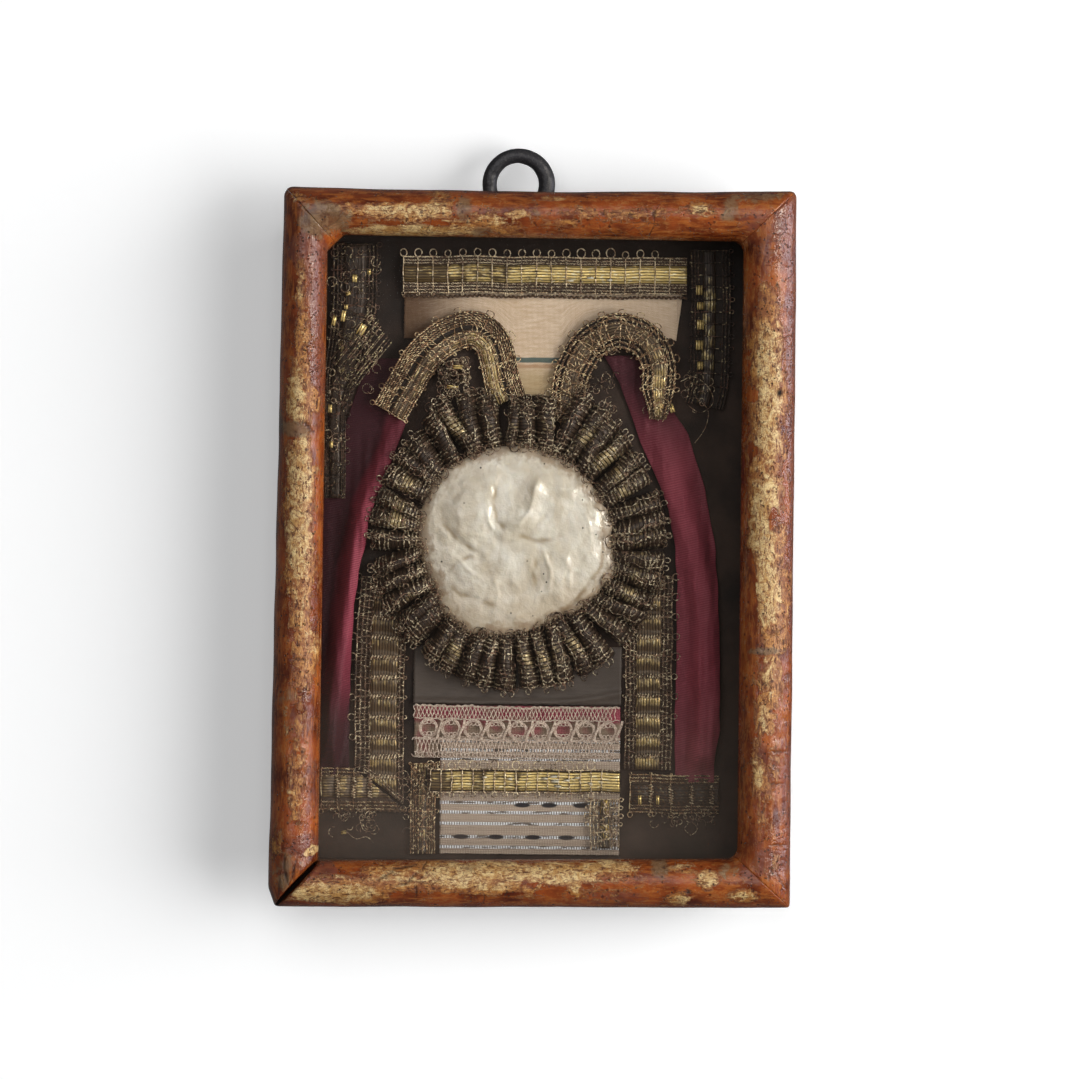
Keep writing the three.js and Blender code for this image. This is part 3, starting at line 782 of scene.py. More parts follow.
class Route:
    """A smooth line on the ground of the niche, measured along its length."""

    FINE = 24

    def __init__(self, points: Sequence[Spot]) -> None:
        """Draws the line through the points.

        Args:
            points: places seen from the front, in order.
        """
        marks = [Vector(point) for point in points]
        marks = [2 * marks[0] - marks[1], *marks, 2 * marks[-1] - marks[-2]]
        self.spots = [marks[1]]
        for quad in zip(marks, marks[1:], marks[2:], marks[3:]):
            self.spots += [self._between(quad, (i + 1) / self.FINE) for i in range(self.FINE)]
        self.reach = [0.0]
        for last, here in zip(self.spots, self.spots[1:]):
            self.reach.append(self.reach[-1] + (here - last).length)
        self.length = self.reach[-1]

    @staticmethod
    def _between(quad: Sequence[Vector], share: float) -> Vector:
        """Returns a point of the centripetal curve between the middle two of four marks.

        Args:
            quad: the four marks.
            share: the share of the way from the second to the third.

        Returns:
            The point.
        """
        before, start, end, after = quad
        gaps = [max(1e-4, (b - a).length ** 0.5) for a, b in zip(quad, quad[1:])]
        leave = (start - before) / gaps[0] - (end - before) / (gaps[0] + gaps[1])
        leave = (leave + (end - start) / gaps[1]) * gaps[1]
        arrive = (end - start) / gaps[1] - (after - start) / (gaps[1] + gaps[2])
        arrive = (arrive + (after - end) / gaps[2]) * gaps[1]
        square = -3 * start + 3 * end - 2 * leave - arrive
        cube = 2 * start - 2 * end + leave + arrive
        return start + leave * share + square * share**2 + cube * share**3

    def at(self, distance: float) -> tuple[Vector, Vector]:
        """Returns the place and the direction at a distance, straight on past the ends.

        Args:
            distance: how far along the route, in millimetres.

        Returns:
            The place, and the direction as a unit vector.
        """
        low, high = 0, len(self.reach) - 1
        while high - low > 1:
            middle = (low + high) // 2
            low, high = (middle, high) if self.reach[middle] <= distance else (low, middle)
        start, end = self.spots[low], self.spots[low + 1]
        way = (end - start).normalized()
        return start + way * (distance - self.reach[low]), way


def cloth_grid(
    columns: int, rows: int, size: Spot, where: Place, tones: Tones | None = None
) -> bmesh.types.BMesh:
    """Makes a sheet of quads and puts each corner where the function says.

    Args:
        columns: quads along the sheet.
        rows: quads across it.
        size: its length and width in millimetres, for the map of its weave.
        where: gives a corner's place from its shares along and across.
        tones: names and functions of numbers that each corner carries, from the same shares.

    Returns:
        The sheet.
    """
    form = bmesh.new()
    bmesh.ops.create_grid(form, x_segments=columns, y_segments=rows, size=0.5)
    weave = form.loops.layers.uv.new("weave")
    for face in form.faces:
        for loop in face.loops:
            share = loop.vert.co
            loop[weave].uv = ((share.x + 0.5) * size[0], (share.y + 0.5) * size[1])
    for name, tone in (tones or {}).items():
        layer = form.verts.layers.float.new(name)
        for vert in form.verts:
            vert[layer] = tone(vert.co.x + 0.5, vert.co.y + 0.5)
    for vert in form.verts:
        vert.co = where(vert.co.x + 0.5, vert.co.y + 0.5)
    return form


def turned(x: float, z: float, degrees: float) -> Spot:
    """Returns a step to the right and up as steps along and across a turned direction."""
    turn = math.radians(degrees)
    return x * math.cos(turn) + z * math.sin(turn), z * math.cos(turn) - x * math.sin(turn)


def spoke(turn: float) -> Vector:
    """Returns the direction in the picture's plane at a turn from the right."""
    return Vector((math.cos(turn), 0, math.sin(turn)))


def close_open_edges(form: bmesh.types.BMesh) -> None:
    """Fills a form's open edges and turns its faces outwards.

    Args:
        form: the form that is closed.
    """
    edges = [edge for edge in form.edges if edge.is_boundary]
    bmesh.ops.holes_fill(form, edges=edges, sides=0)
    bmesh.ops.recalc_face_normals(form, faces=form.faces)


def thicken(form: bmesh.types.BMesh, thickness: float) -> bmesh.types.BMesh:
    """Gives a sheet a thickness towards its back.

    Args:
        form: the sheet.
        thickness: in millimetres.

    Returns:
        The same form, now closed.
    """
    bmesh.ops.recalc_face_normals(form, faces=form.faces)
    front = sum(face.normal.y * face.calc_area() for face in form.faces)
    if front > 0:
        bmesh.ops.reverse_faces(form, faces=form.faces)
    bmesh.ops.solidify(form, geom=form.faces[:], thickness=thickness)
    return form


def bundle(paths: Sequence[Sequence[Vector]], radius: float, corners: int = 4) -> bpy.types.Mesh:
    """Turns the paths of wires of one thickness into a mesh.

    Args:
        paths: the points of each wire, in millimetres.
        radius: half the wire's thickness.
        corners: how many sides the wire has.

    Returns:
        The wires as one mesh.
    """
    line = bpy.data.curves.new("wire", "CURVE")
    line.dimensions = "3D"
    line.bevel_depth = radius
    line.bevel_resolution = (corners - 4) // 2
    line.use_fill_caps = True
    for path in paths:
        spline = line.splines.new("POLY")
        spline.points.add(len(path) - 1)
        spline.points.foreach_set("co", [part for point in path for part in (*point, 1.0)])
        beads = [1.0 + 0.28 * math.sin(i * 1.9) for i in range(len(path))]
        spline.points.foreach_set("radius", beads)
    holder = bpy.data.objects.new("wire", line)
    mesh = bpy.data.meshes.new_from_object(holder)
    bpy.data.objects.remove(holder)
    bpy.data.curves.remove(line)
    return mesh


class Piece:
    """One piece of the object: its meshes, each with a finish, shown as one object."""

    def __init__(self, name: str, slot: str, replaces: Sequence[str] = ()) -> None:
        """Starts an empty piece.

        Args:
            name: the piece's name.
            slot: the record's material slot; kept, but not used.
            replaces: the CAD nodes that it stands for.
        """
        self.name = name
        self.slot = slot
        self.nodes = replaces
        self.form = bmesh.new()
        self.finishes: list[Finish] = []

    def add(self, part: bmesh.types.BMesh | bpy.types.Mesh, finish: Finish) -> "Piece":
        """Adds a mesh in millimetres with its finish.

        Args:
            part: the mesh, which is used up.
            finish: its finish.

        Returns:
            The piece itself.
        """
        if isinstance(part, bmesh.types.BMesh):
            mesh = bpy.data.meshes.new("part")
            part.to_mesh(mesh)
            part.free()
        else:
            mesh = part
        if finish not in self.finishes:
            self.finishes.append(finish)
        index = self.finishes.index(finish)
        mesh.polygons.foreach_set("material_index", [index] * len(mesh.polygons))
        self.form.from_mesh(mesh)
        bpy.data.meshes.remove(mesh)
        return self

    def show(self, smooth: bool = True) -> bpy.types.Object:
        """Makes the object, in metres, riding on the model's only body.

        Args:
            smooth: whether its faces are shaded smoothly.

        Returns:
            The finished object.
        """
        bmesh.ops.scale(self.form, vec=(METRES,) * 3, verts=self.form.verts)
        for face in self.form.faces:
            face.smooth = smooth
        mesh = bpy.data.meshes.new(self.name)
        self.form.to_mesh(mesh)
        self.form.free()
        for finish in self.finishes:
            mesh.materials.append(dressed(finish))
        shown = bpy.data.objects.new(self.name, mesh)
        bpy.context.scene.collection.objects.link(shown)
        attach(shown, "root")
        if self.nodes:
            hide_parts(*self.nodes)
        log.info("%s: %d faces", self.name, len(mesh.polygons))
        return shown


@dataclass(frozen=True)
class Corner:
    """A corner of the frame: its outer and sight points, its wear and its filling."""

    outer: Spot
    sight: Spot
    worn: float
    chamfer: float = 0.0
    fillet: float = 0.0

    def reach(self, distance: float) -> float:
        """Returns how far the filled sight corner reaches over the opening.

        Args:
            distance: how far the place is from the corner.

        Returns:
            The reach in millimetres.
        """
        if self.chamfer > distance:
            return self.chamfer - distance
        if self.fillet > distance:
            return self.fillet - math.sqrt(self.fillet**2 - (self.fillet - distance) ** 2)
        return 0.0

    def start(self) -> float:
        """Returns how far from the sight corner the rail's inner edge begins."""
        return max(self.chamfer / 2, self.fillet * (1 - math.sqrt(0.5)))

    def wear(self, point: Vector) -> Vector:
        """Returns the outline's point drawn in round the worn outer corner.

        Args:
            point: a point of the sharp outline.

        Returns:
            The worn point.
        """
        side = Vector((math.copysign(1, self.outer[0]), math.copysign(1, self.outer[1])))
        inner = [self.worn - side[i] * (self.outer[i] - point[i]) for i in (0, 1)]
        if min(inner) <= 0:
            return point
        pull = max(inner) / math.hypot(*inner)
        return Vector([self.outer[i] + side[i] * (inner[i] * pull - self.worn) for i in (0, 1)])


TOP_LEFT = Corner((-49.8, 70.2), (-41.2, 60.9), 1.9, chamfer=3.2)
TOP_RIGHT = Corner((50.3, 70.3), (40.0, 60.4), 1.3, fillet=2.2)
BOTTOM_RIGHT = Corner((50.4, -69.6), (40.0, -60.1), 0.7, fillet=2.3)
BOTTOM_LEFT = Corner((-50.2, -70.4), (-41.8, -61.3), 0.5)


class Worn(Enum):
    """What a patch of the frame shows."""

    GOLD = "gold"
    PALE = "pale"
    DUSK = "dusk"
    PLUM_SHEEN = "plum_sheen"
    CRACK = "crack"


@dataclass(frozen=True)
class Patch:
    """A soft-edged patch on the frame: where it is, its half sizes and its strength."""

    x: float
    z: float
    wide: float
    tall: float
    strength: float = 1.0
    turn: float = 0.0

    def share(self, x: float, z: float) -> float:
        """Returns how strongly the patch shows at a place.

        Args:
            x: the place from left to right.
            z: the place upwards.

        Returns:
            1 inside the patch, 0 well outside it.
        """
        dx, dz = x - self.x, z - self.z
        if abs(dx) + abs(dz) > 2.0 * (self.wide + self.tall):
            return 0.0
        along, across = turned(dx, dz, self.turn)
        reach = math.hypot(along / self.wide, across / self.tall)
        return self.strength * (1.0 - ease(0.35, 1.55, reach))


@dataclass
class Rail:
    """One half-round rail from corner to corner, mitred at both ends, with its worn patches."""

    name: str
    start: Corner
    end: Corner
    patches: Wear
    open_start: float = 0.0
    open_end: float = 0.0
    sag: float = 0.0
    outwards: float = 0.0
    broken: float = 1.0

    BACK = 14.0
    RISE = 8.0
    SIDE = 2.6
    WALL = 0.07
    WAVES = 0.14
    GIRTH = 22.0
    MITRE_GAP = 0.015
    FRONT_STEPS = 40
    STEP = 0.42

    def _outer(self, share: float, length: float) -> Vector:
        """Returns the outline's point at a share of the rail's length.

        Args:
            share: how far along the rail, from 0 to 1.
            length: the rail's length.

        Returns:
            The point on the outer edge.
        """
        point = self.first.lerp(self.last, share) + self.over * self.sag * math.sin(math.pi * share)
        whole = min(1.0, share * length / self.broken)
        point -= self.over * self.outwards * (1 - share) * whole
        point -= self.over * self.WAVES * drift(share * length, 3.0, 9.0, self.first.x)
        return self.end.wear(self.start.wear(point))

    def _sight(self, share: float, length: float) -> Vector:
        """Returns the inner edge's point at a share of the rail's length.

        Args:
            share: how far along the rail, from 0 to 1.
            length: the rail's length.

        Returns:
            The point on the sight edge.
        """
        reach = share * length
        from_start = max(reach, self.start.start())
        from_end = max(length - reach, self.end.start())
        distance = from_start if share < 0.5 else length - from_end
        tuck = self.start.reach(from_start) + self.end.reach(from_end)
        return Vector(self.start.sight) + self.way * distance + self.over * tuck

    def _section(self, across: float) -> tuple[float, float]:
        """Returns a place on the section: its share across the rail and its height.

        Args:
            across: how far round the section, from 0 to 1.

        Returns:
            The share and the height.
        """
        if across < self.WALL:
            return 0.0, self.SIDE * across / self.WALL
        if across > 1 - self.WALL:
            return 1.0, self.SIDE * (1 - across) / self.WALL
        share = (1 - math.cos(math.pi * (across - self.WALL) / (1 - 2 * self.WALL))) / 2
        crown = math.sqrt(max(0.0, 1 - (2 * share - 1) ** 2))
        return share, self.SIDE + (self.RISE - self.SIDE) * crown

    def _surface(self, share: float, across: float) -> Vector:
        """Returns a point of the rail's front, from its shares along and across.

        Args:
            share: how far along the rail, from 0 to 1.
            across: how far round its section, from 0 to 1.

        Returns:
            The point.
        """
        over, height = self._section(across)
        ends = min(share * self.length, (1 - share) * self.length)
        near = self._outer(share, self.length)
        far = self._sight(share, self.sight_length)
        point = near.lerp(far, over)
        lift = height / self.RISE
        trim = self.MITRE_GAP / math.sqrt(2)
        point += self.way * mix(trim + self.open_start * lift, -trim - self.open_end * lift, share)
        dents = 0.1 * drift(point.x, point.y, 2.6, 4.0) + 0.05 * drift(point.x, point.y, 0.9, 5.0)
        height += (dents - 0.1 * bell(ends, 0.35)) * ease(0.0, 3.0, height)
        return at(point.x, point.y, self.BACK + height)

    def build(self) -> None:
        """Makes the rail: its front from a grid, its back and mitres closed on it."""
        self.first, self.last = Vector(self.start.outer), Vector(self.end.outer)
        inner = Vector(self.end.sight) - Vector(self.start.sight)
        self.way = inner.normalized()
        self.over = Vector((self.way.y, -self.way.x))
        self.length = (self.last - self.first).length
        self.sight_length = inner.length
        columns = round(self.length / self.STEP)
        form = cloth_grid(columns, self.FRONT_STEPS, (self.length, self.GIRTH), self._surface)
        for kind in Worn:
            patches = [Patch(*sizes) for sizes in self.patches.get(kind, ())]
            layer = form.verts.layers.float.new(kind.value)
            for vert in form.verts:
                total = sum(patch.share(vert.co.x, vert.co.z) for patch in patches)
                vert[layer] = max(-1.0, min(1.2, total))
        edges = [edge for edge in form.edges if edge.is_boundary]
        back = [e for e in edges if all(abs(v.co.y + self.BACK) < 1e-6 for v in e.verts)]
        bmesh.ops.bridge_loops(form, edges=back)
        close_open_edges(form)
        along = "X" if abs(self.way.x) > abs(self.way.y) else "Z"
        piece = Piece(f"worn_{self.name}", "lacquered_wood", [self.name])
        piece.add(form, WornGilding(f"worn gilding {along}", along)).show()


LEFT_WEAR: Wear = {
    Worn.GOLD: (
        (-46, 5, 2.6, 32, 0.38), (-47, 68.3, 1.8, 1.2, 0.8), (-46.4, 51.1, 1, 5.1, 0.75),
        (-45.9, 41.2, 1.6, 6.6, 0.8), (-46.4, 29.7, 2.7, 6.2, 1), (-43.1, 28.2, 1, 2.7, 0.8),
        (-47.3, 22.8, 2.7, 1.6, -1), (-46.2, 11, 2.9, 10.9, 1.15), (-45.5, -5, 3.3, 5.5, 1.05),
        (-45.8, -13.2, 2, 3.5, 0.85), (-44.3, -20.2, 2.7, 4.3, 1.1), (-44.5, -26.1, 1.8, 2, 0.8),
        (-45.2, -32.3, 1.4, 3.5, 0.5), (-46.1, -41.7, 1.8, 7.8, 0.62),
        (-46.5, -51.8, 1.6, 4.7, 0.6), (-50, -58.3, 1.4, 3.9, 0.7),
        (-43.1, -59.4, 1.6, 0.8, 1.6, 30),
    ),
    Worn.PALE: (
        (-46.2, 8, 2.6, 26, 0.4), (-46.6, 67.7, 1.2, 0.8, 0.6), (-46.2, 50.9, 0.6, 3.5, 0.6),
        (-47, 29.5, 1.6, 5.5, 0.5), (-46.5, 14.9, 2, 5.9, 0.55), (-46.5, 3.2, 1.8, 4.3, 0.6),
        (-45.3, -2.7, 2.1, 2.3, 0.4), (-43.4, -18.3, 1.4, 2.7, 0.5), (-47, -47.5, 0.8, 3.9, 0.3),
        (-43.1, -59.4, 1.6, 0.8, 1.6, 30),
    ),
    Worn.DUSK: (
        (-43.9, 63.4, 3.6, 2.9, 1.2, -40), (-47.3, 22.8, 2.7, 1.6, 1.3), (-48.3, -29, 2.3, 2, 0.5),
        (-48.4, -63.6, 2.3, 4.3, 0.7), (-50.3, 24.6, 1.2, 2.3, 0.9),
    ),
    Worn.PLUM_SHEEN: (
        (-45, 57.8, 3.9, 4.3, 1), (-43.1, 48, 1.8, 13.7, 0.8), (-42.7, 31.5, 1.4, 7.8, 0.9),
        (-42.8, -14.4, 1, 9.8, 0.5), (-43.1, -47.5, 1.6, 7.8, 0.6), (-44.5, -58.4, 3.1, 2.3, 1),
    ),
    Worn.CRACK: (
        (-48.4, -61.6, 0.16, 3.2, 0.8, 6), (-46.4, -62.6, 0.16, 2.8, 0.8, -14),
        (-47.6, -65.4, 0.16, 2.4, 0.8, 24), (-49.3, -66, 0.16, 2.6, 0.7, -4),
        (-47.3, -60.2, 1.3, 0.15, 0.7, 12), (-48.6, -63.9, 1.2, 0.15, 0.7, -20),
        (-44.6, 23.3, 0.3, 1.6, 1, 35), (-45.9, -54, 1.4, 0.2, 0.9), (-45.9, -22, 1.6, 0.2, 0.8),
    ),
}
TOP_WEAR: Wear = {
    Worn.GOLD: (
        (-13, 64.6, 27, 2.2, 0.32), (-47, 68.1, 1.8, 1.2, 0.8), (-37.8, 66.2, 2.3, 1.2, 0.55),
        (-27.1, 65.6, 8.2, 1.8, 1), (-19.3, 67, 2.7, 2.3, 0.9), (-24.7, 61.7, 12.1, 1, 1.5),
        (-14.6, 65.9, 1.8, 2.9, -0.6), (-11.5, 63.4, 5.5, 1.6, 0.95), (-4.1, 65.2, 2, 0.8, 1.3),
        (-5.2, 61.7, 3.1, 1, 0.7), (2.1, 68.2, 2.7, 0.6, 0.9), (11.9, 65, 7.8, 1.6, 0.42),
        (4.1, 63, 3.5, 1.2, 0.45), (22.1, 65.7, 5.9, 1.6, 0.5), (31.4, 66.6, 3.1, 1.2, 1.1),
        (47, 69.3, 0.8, 1, 0.7),
    ),
    Worn.PALE: (
        (-20, 64.6, 18, 2.2, 0.3), (-27.1, 65.6, 6.6, 1.2, 0.45), (-19.7, 66.6, 2, 1.8, 0.5),
        (-24.7, 61.7, 11.3, 0.9, 1.4), (-7.6, 63.8, 2.3, 1, 0.5), (-4.1, 65.2, 1.6, 0.8, 1.3),
        (2.1, 68.2, 2, 0.6, 0.5), (31.4, 66.4, 2, 0.8, 0.8),
    ),
    Worn.DUSK: (
        (-42, 64.4, 5.6, 3, 1.15, -10), (-14.6, 65.9, 1.8, 2.9, 0.95), (-10.9, 61.8, 2.3, 1, 0.9),
        (-0.8, 65.7, 2.3, 3.1, 0.4), (37.3, 66.4, 2, 2.7, 0.85), (42.7, 69.2, 4.3, 1.2, 1),
        (4.1, 69.8, 11.7, 0.6, 0.5),
    ),
    Worn.PLUM_SHEEN: (
        (-46.6, 64.6, 2.7, 3.5, 0.5), (42.7, 64.2, 4.3, 2.3, 0.7), (-17.4, 69.4, 11.7, 0.8, 0.4),
    ),
    Worn.CRACK: (
        (12.4, 65.4, 0.5, 0.5, 0.8), (18.1, 64.8, 0.5, 0.4, 0.7), (20.3, 64.3, 0.5, 0.5, 0.8),
        (22.4, 65.5, 0.4, 0.8, 0.8), (20.1, 66.3, 0.6, 0.2, 0.8), (31.4, 66.1, 0.6, 0.3, 0.7),
    ),
}
RIGHT_WEAR: Wear = {
    Worn.GOLD: (
        (43.8, 20, 2.3, 26, 0.55), (44.8, 49, 2.3, 3.1, 0.8), (44.5, 40.2, 3.3, 6.6, 1.2),
        (41.7, 48.9, 0.8, 3.5, -0.9), (45, 29.9, 3.7, 5.9, 1.3), (42.5, 30.4, 1.2, 1.8, -1.6, 15),
        (44.8, 20.7, 3.9, 4.3, 1.3), (42.4, 19.7, 1, 1.8, -1.7), (45, 11.9, 3.5, 5.5, 1.2),
        (46.1, 6.1, 0.8, 2.3, -1.8, -8), (44.9, 2.2, 3.7, 5.1, 1.25), (46.2, -7.6, 3.5, 7.8, 1.3),
        (42.1, -9.6, 1, 8.6, -1.2), (47.1, -17.3, 2.7, 3.5, 1.1), (46, -25.1, 2.7, 4.3, 0.95),
        (45.1, -32, 2.5, 4.3, 0.85), (43.6, -40.7, 1.4, 4.7, 0.75), (44.7, -46.6, 1.8, 3.5, 0.8),
        (47.2, -41.7, 1.6, 3.9, 0.5), (45.9, -52.8, 2.7, 2.3, 0.45), (41.6, -67.3, 3.1, 1.2, 0.9),
        (47.2, -60.2, 1, 1.6, 0.6),
    ),
    Worn.PALE: (
        (44.6, 18, 2.6, 28, 0.35), (45, 38.8, 2.3, 5.1, 0.6), (45.4, 30.4, 2.3, 5.5, 0.8),
        (45.5, 21.7, 2.3, 3.1, 0.9), (44.9, 10, 2.3, 4.3, 0.8), (44.2, 3.1, 2.3, 3.5, 0.8),
        (45.8, -7.6, 2.3, 7, 0.9), (45.6, -24.3, 1.6, 3.1, 0.6), (44.9, -32.2, 1.2, 3.5, 0.5),
        (43.7, -41.7, 0.8, 2.7, 0.6), (44.1, -44.4, 0.8, 1.8, 0.8), (41.4, -67.3, 2.3, 0.8, 0.6),
    ),
    Worn.DUSK: (
        (45.3, 3, 1.6, 1.2, 0.5), (44.8, -19.5, 3.5, 0.8, 1.2),
    ),
    Worn.PLUM_SHEEN: (
        (47.8, 64.2, 2.3, 4.7, 1), (44.7, 58.7, 4.3, 3.9, 0.5), (49.5, 49, 1.2, 21.4, 0.9),
        (49.6, 25.6, 1.4, 11.7, 1), (50.3, -1.7, 1.2, 17.6, 1), (49.8, -48.5, 1.2, 11.7, 0.9),
        (46.4, -60.6, 3.9, 3.1, 0.9),
    ),
    Worn.CRACK: (
        (47.3, 30.9, 0.6, 0.7, 1.4), (49.5, -24.3, 0.6, 0.8, 0.6), (47.7, -39.1, 1.6, 0.2, 0.8),
        (47.4, -45.4, 1.8, 0.2, 0.8), (47.9, -57.3, 1.6, 0.2, 0.8),
        (46.4, -62.8, 0.2, 2.3, 0.8, -20), (48.4, -64.1, 0.2, 2.3, 0.8, 30),
    ),
}
BOTTOM_WEAR: Wear = {
    Worn.GOLD: (
        (-7, -64.2, 32, 2.8, 0.45), (-39, -67.4, 8.5, 2.2, 1.1), (-34.3, -67.5, 6.6, 2, 1.25),
        (-44.4, -67.6, 2, 1.2, 0.7), (-24.8, -64.1, 8.2, 2.7, 1.05), (-17.9, -63.2, 4.7, 2.3, 1.2),
        (-8.2, -63.1, 7.8, 2.1, 1.2), (-9.1, -66.3, 9.4, 1.2, 0.8), (5.5, -63, 6.6, 2, 1.15),
        (15.2, -62.1, 5.5, 1.8, 0.95), (8.4, -65.7, 1.2, 1.6, 0.9), (13.3, -67, 7.8, 1, 0.3),
        (29.6, -62, 3.5, 1, 0.8), (34.3, -64.2, 2, 1.8, 1.4), (28.1, -68, 3.1, 1.4, 1.1),
        (41.4, -67.3, 2.9, 1.4, 1), (5.5, -67.9, 11.7, 0.8, 0.3),
    ),
    Worn.PALE: (
        (-7, -64, 30, 2.4, 0.35), (-40, -67.6, 7.4, 1.8, 1.2), (-33.5, -67.1, 4.7, 1.2, 0.5),
        (-26.5, -64.9, 3.9, 1.6, 0.25), (-16.8, -63.2, 3.9, 1.8, 0.9),
        (-8.2, -62.7, 7.8, 1.8, 1.1), (-10.1, -65.9, 5.9, 0.8, 0.5), (5.5, -63, 6.2, 1.6, 1),
        (15.6, -61.7, 4.7, 1.2, 0.9), (8.4, -65.7, 1, 1.4, 0.7), (29.6, -61.8, 2.7, 0.6, 0.7),
        (34.3, -64.2, 1.8, 1.6, 0.9), (28.9, -68.2, 2.3, 1, 0.7), (41, -67.3, 2.3, 0.8, 0.6),
    ),
    Worn.DUSK: (
        (-49.1, -67.7, 2, 1.6, 0.9), (-25, -64.1, 5.9, 2, 0.28), (-12.1, -62.4, 1.6, 0.8, 0.6),
        (24.8, -62, 1.8, 3.1, 1.1), (38.2, -61.9, 2, 2.3, 0.7),
    ),
    Worn.PLUM_SHEEN: (
        (-41.7, -63.5, 3.5, 2.1, 1.3, 15), (15.3, -67.6, 9.8, 1.6, 0.6),
        (44.5, -62.6, 3.9, 2.7, 0.9),
    ),
    Worn.CRACK: (
        (-40.4, -63.5, 1.2, 0.8, 0.45, 15), (-28.7, -64.1, 2.3, 0.2, 0.9, 30),
        (-25.7, -62.5, 2.7, 0.2, 0.9, 10), (-23.4, -64.3, 2, 0.2, 0.9, 45),
        (-24.9, -65.6, 2, 0.2, 0.9, 15), (-22.6, -66.8, 0.2, 1.4, 0.8),
        (-21.1, -62.1, 1.2, 0.2, 0.9, 60), (30.5, -66.6, 0.5, 0.5, 1.3),
        (46.4, -62.8, 0.2, 2.3, 0.8, -20), (48.4, -64.1, 0.2, 2.3, 0.8, 30),
    ),
}


@dataclass
class Frame:
    """The four rails of the frame, one turn clockwise."""

    sag: float = 0.5
    open_mitre: float = 1.1
    splay: float = 1.3
    broken: float = 3.6
    glue: float = 0.45

    def build(self) -> None:
        """Makes the rails."""
        gap = self.open_mitre
        left = {"open_start": gap, "outwards": self.splay, "broken": self.broken}
        Rail("rail_top", TOP_LEFT, TOP_RIGHT, TOP_WEAR, sag=self.sag).build()
        Rail("rail_right", TOP_RIGHT, BOTTOM_RIGHT, RIGHT_WEAR).build()
        Rail("rail_bottom", BOTTOM_RIGHT, BOTTOM_LEFT, BOTTOM_WEAR, open_end=gap).build()
        Rail("rail_left", BOTTOM_LEFT, TOP_LEFT, LEFT_WEAR, **left).build()
        self._glue()

    def _glue(self) -> None:
        """Fills the open mitre with dark old glue that has sunk below the rails."""
        outer, sight = Vector(BOTTOM_LEFT.outer), Vector(BOTTOM_LEFT.sight)
        outer = outer.lerp(sight, 0.06)

        def where(along: float, across: float) -> Vector:
            """Returns a corner's place, on the round of the rails but lower."""
            crown = 2.2 + 5.6 * math.sqrt(max(0.0, 1 - (2 * (0.08 + 0.85 * along) - 1) ** 2))
            return at(*outer.lerp(sight, 0.02 + 0.9 * along), 14.05 + crown * self.glue * across)

        form = cloth_grid(24, 6, (12.0, 8.0), where)
        bmesh.ops.solidify(form, geom=form.faces[:], thickness=0.9)
        normal = Vector((outer.y - sight.y, 0, -(outer.x - sight.x))).normalized()
        middle = sum((v.co for v in form.verts), Vector()) / len(form.verts)
        shift = (at(*outer.lerp(sight, 0.47), 0) - middle).dot(normal)
        bmesh.ops.translate(form, vec=normal * shift, verts=form.verts)
        bmesh.ops.recalc_face_normals(form, faces=form.faces)
        glue = PlainThread("old glue", "150b07", "33200f")
        Piece("mitre_glue", "lacquered_wood").add(form, glue).show()


@dataclass
class WoodenBox:
    """The boards behind the rails, with their arrises taken off and the backboard's nails."""

    arris: float = 0.3
    nail: float = 0.85
    nail_inset: float = 1.3
    nail_spots: Sequence[Spot] = (
        (-1, 0.93), (-1, 0.02), (-1, -0.9), (1, 0.9), (1, -0.05), (1, -0.92),
        (-0.4, 1), (0.45, 1), (-0.5, -1), (0.4, -1),
    )

    def _board(self, node: str) -> bmesh.types.BMesh:
        """Returns a copy of a CAD board in millimetres, its faces joined and its arrises eased.

        Args:
            node: the board's CAD node.

        Returns:
            The board.
        """
        form = bmesh.new()
        form.from_mesh(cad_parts[node].data)
        bmesh.ops.scale(form, vec=(1 / METRES,) * 3, verts=form.verts)
        bmesh.ops.remove_doubles(form, verts=form.verts, dist=0.001)
        bmesh.ops.dissolve_limit(
            form, angle_limit=math.radians(1), verts=form.verts, edges=form.edges
        )
        sharp = [e for e in form.edges if e.calc_length() > 2.0 and e.calc_face_angle(0) > 1]
        bmesh.ops.bevel(
            form, geom=sharp, offset=self.arris, affect="EDGES", segments=2, profile=0.5,
            material=-1,
        )
        bmesh.ops.triangulate(form, faces=[f for f in form.faces if len(f.verts) > 4])
        return form

    def _nail(self, x: float, z: float, tilt: float) -> bmesh.types.BMesh:
        """Returns one hammered nail head, which sits in a dent of the back.

        Args:
            x: its place from left to right.
            z: its place upwards.
            tilt: how far its head is turned.

        Returns:
            The nail head.
        """
        form = bmesh.new()
        bmesh.ops.create_uvsphere(form, u_segments=10, v_segments=6, radius=self.nail)
        bmesh.ops.scale(form, vec=(1, 0.28, 0.9), verts=form.verts)
        bmesh.ops.transform(form, matrix=Matrix.Rotation(tilt, 4, "Y"), verts=form.verts)
        bmesh.ops.translate(form, vec=at(x, z, self.nail * 0.16), verts=form.verts)
        return form

    def build(self) -> None:
        """Makes the boards and gives the pane and the lining their finishes."""
        upright = ["case_left", "case_right", "backboard"]
        level = ["case_top", "case_bottom"]
        case = Piece("worn_case", "case_wood", [*upright[:2], *level, upright[2]])
        for node in upright:
            case.add(self._board(node), AgedWood("aged wood upright", "Z"))
        for node in level:
            case.add(self._board(node), AgedWood("aged wood across", "X"))
        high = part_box("backboard")[1] / METRES
        for i, (x, z) in enumerate(self.nail_spots):
            place = x * (high.x - self.nail_inset), z * (high.z - self.nail_inset)
            case.add(self._nail(*place, tilt=i * 1.3), BlackIron("old nails"))
        case.show(smooth=False)
        for node, finish in (
            ("glass_pane", ClearGlass("old glass")), ("ground_card", DullLining("dull lining")),
        ):
            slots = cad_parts[node].data.materials
            slots.clear()
            slots.append(dressed(finish))


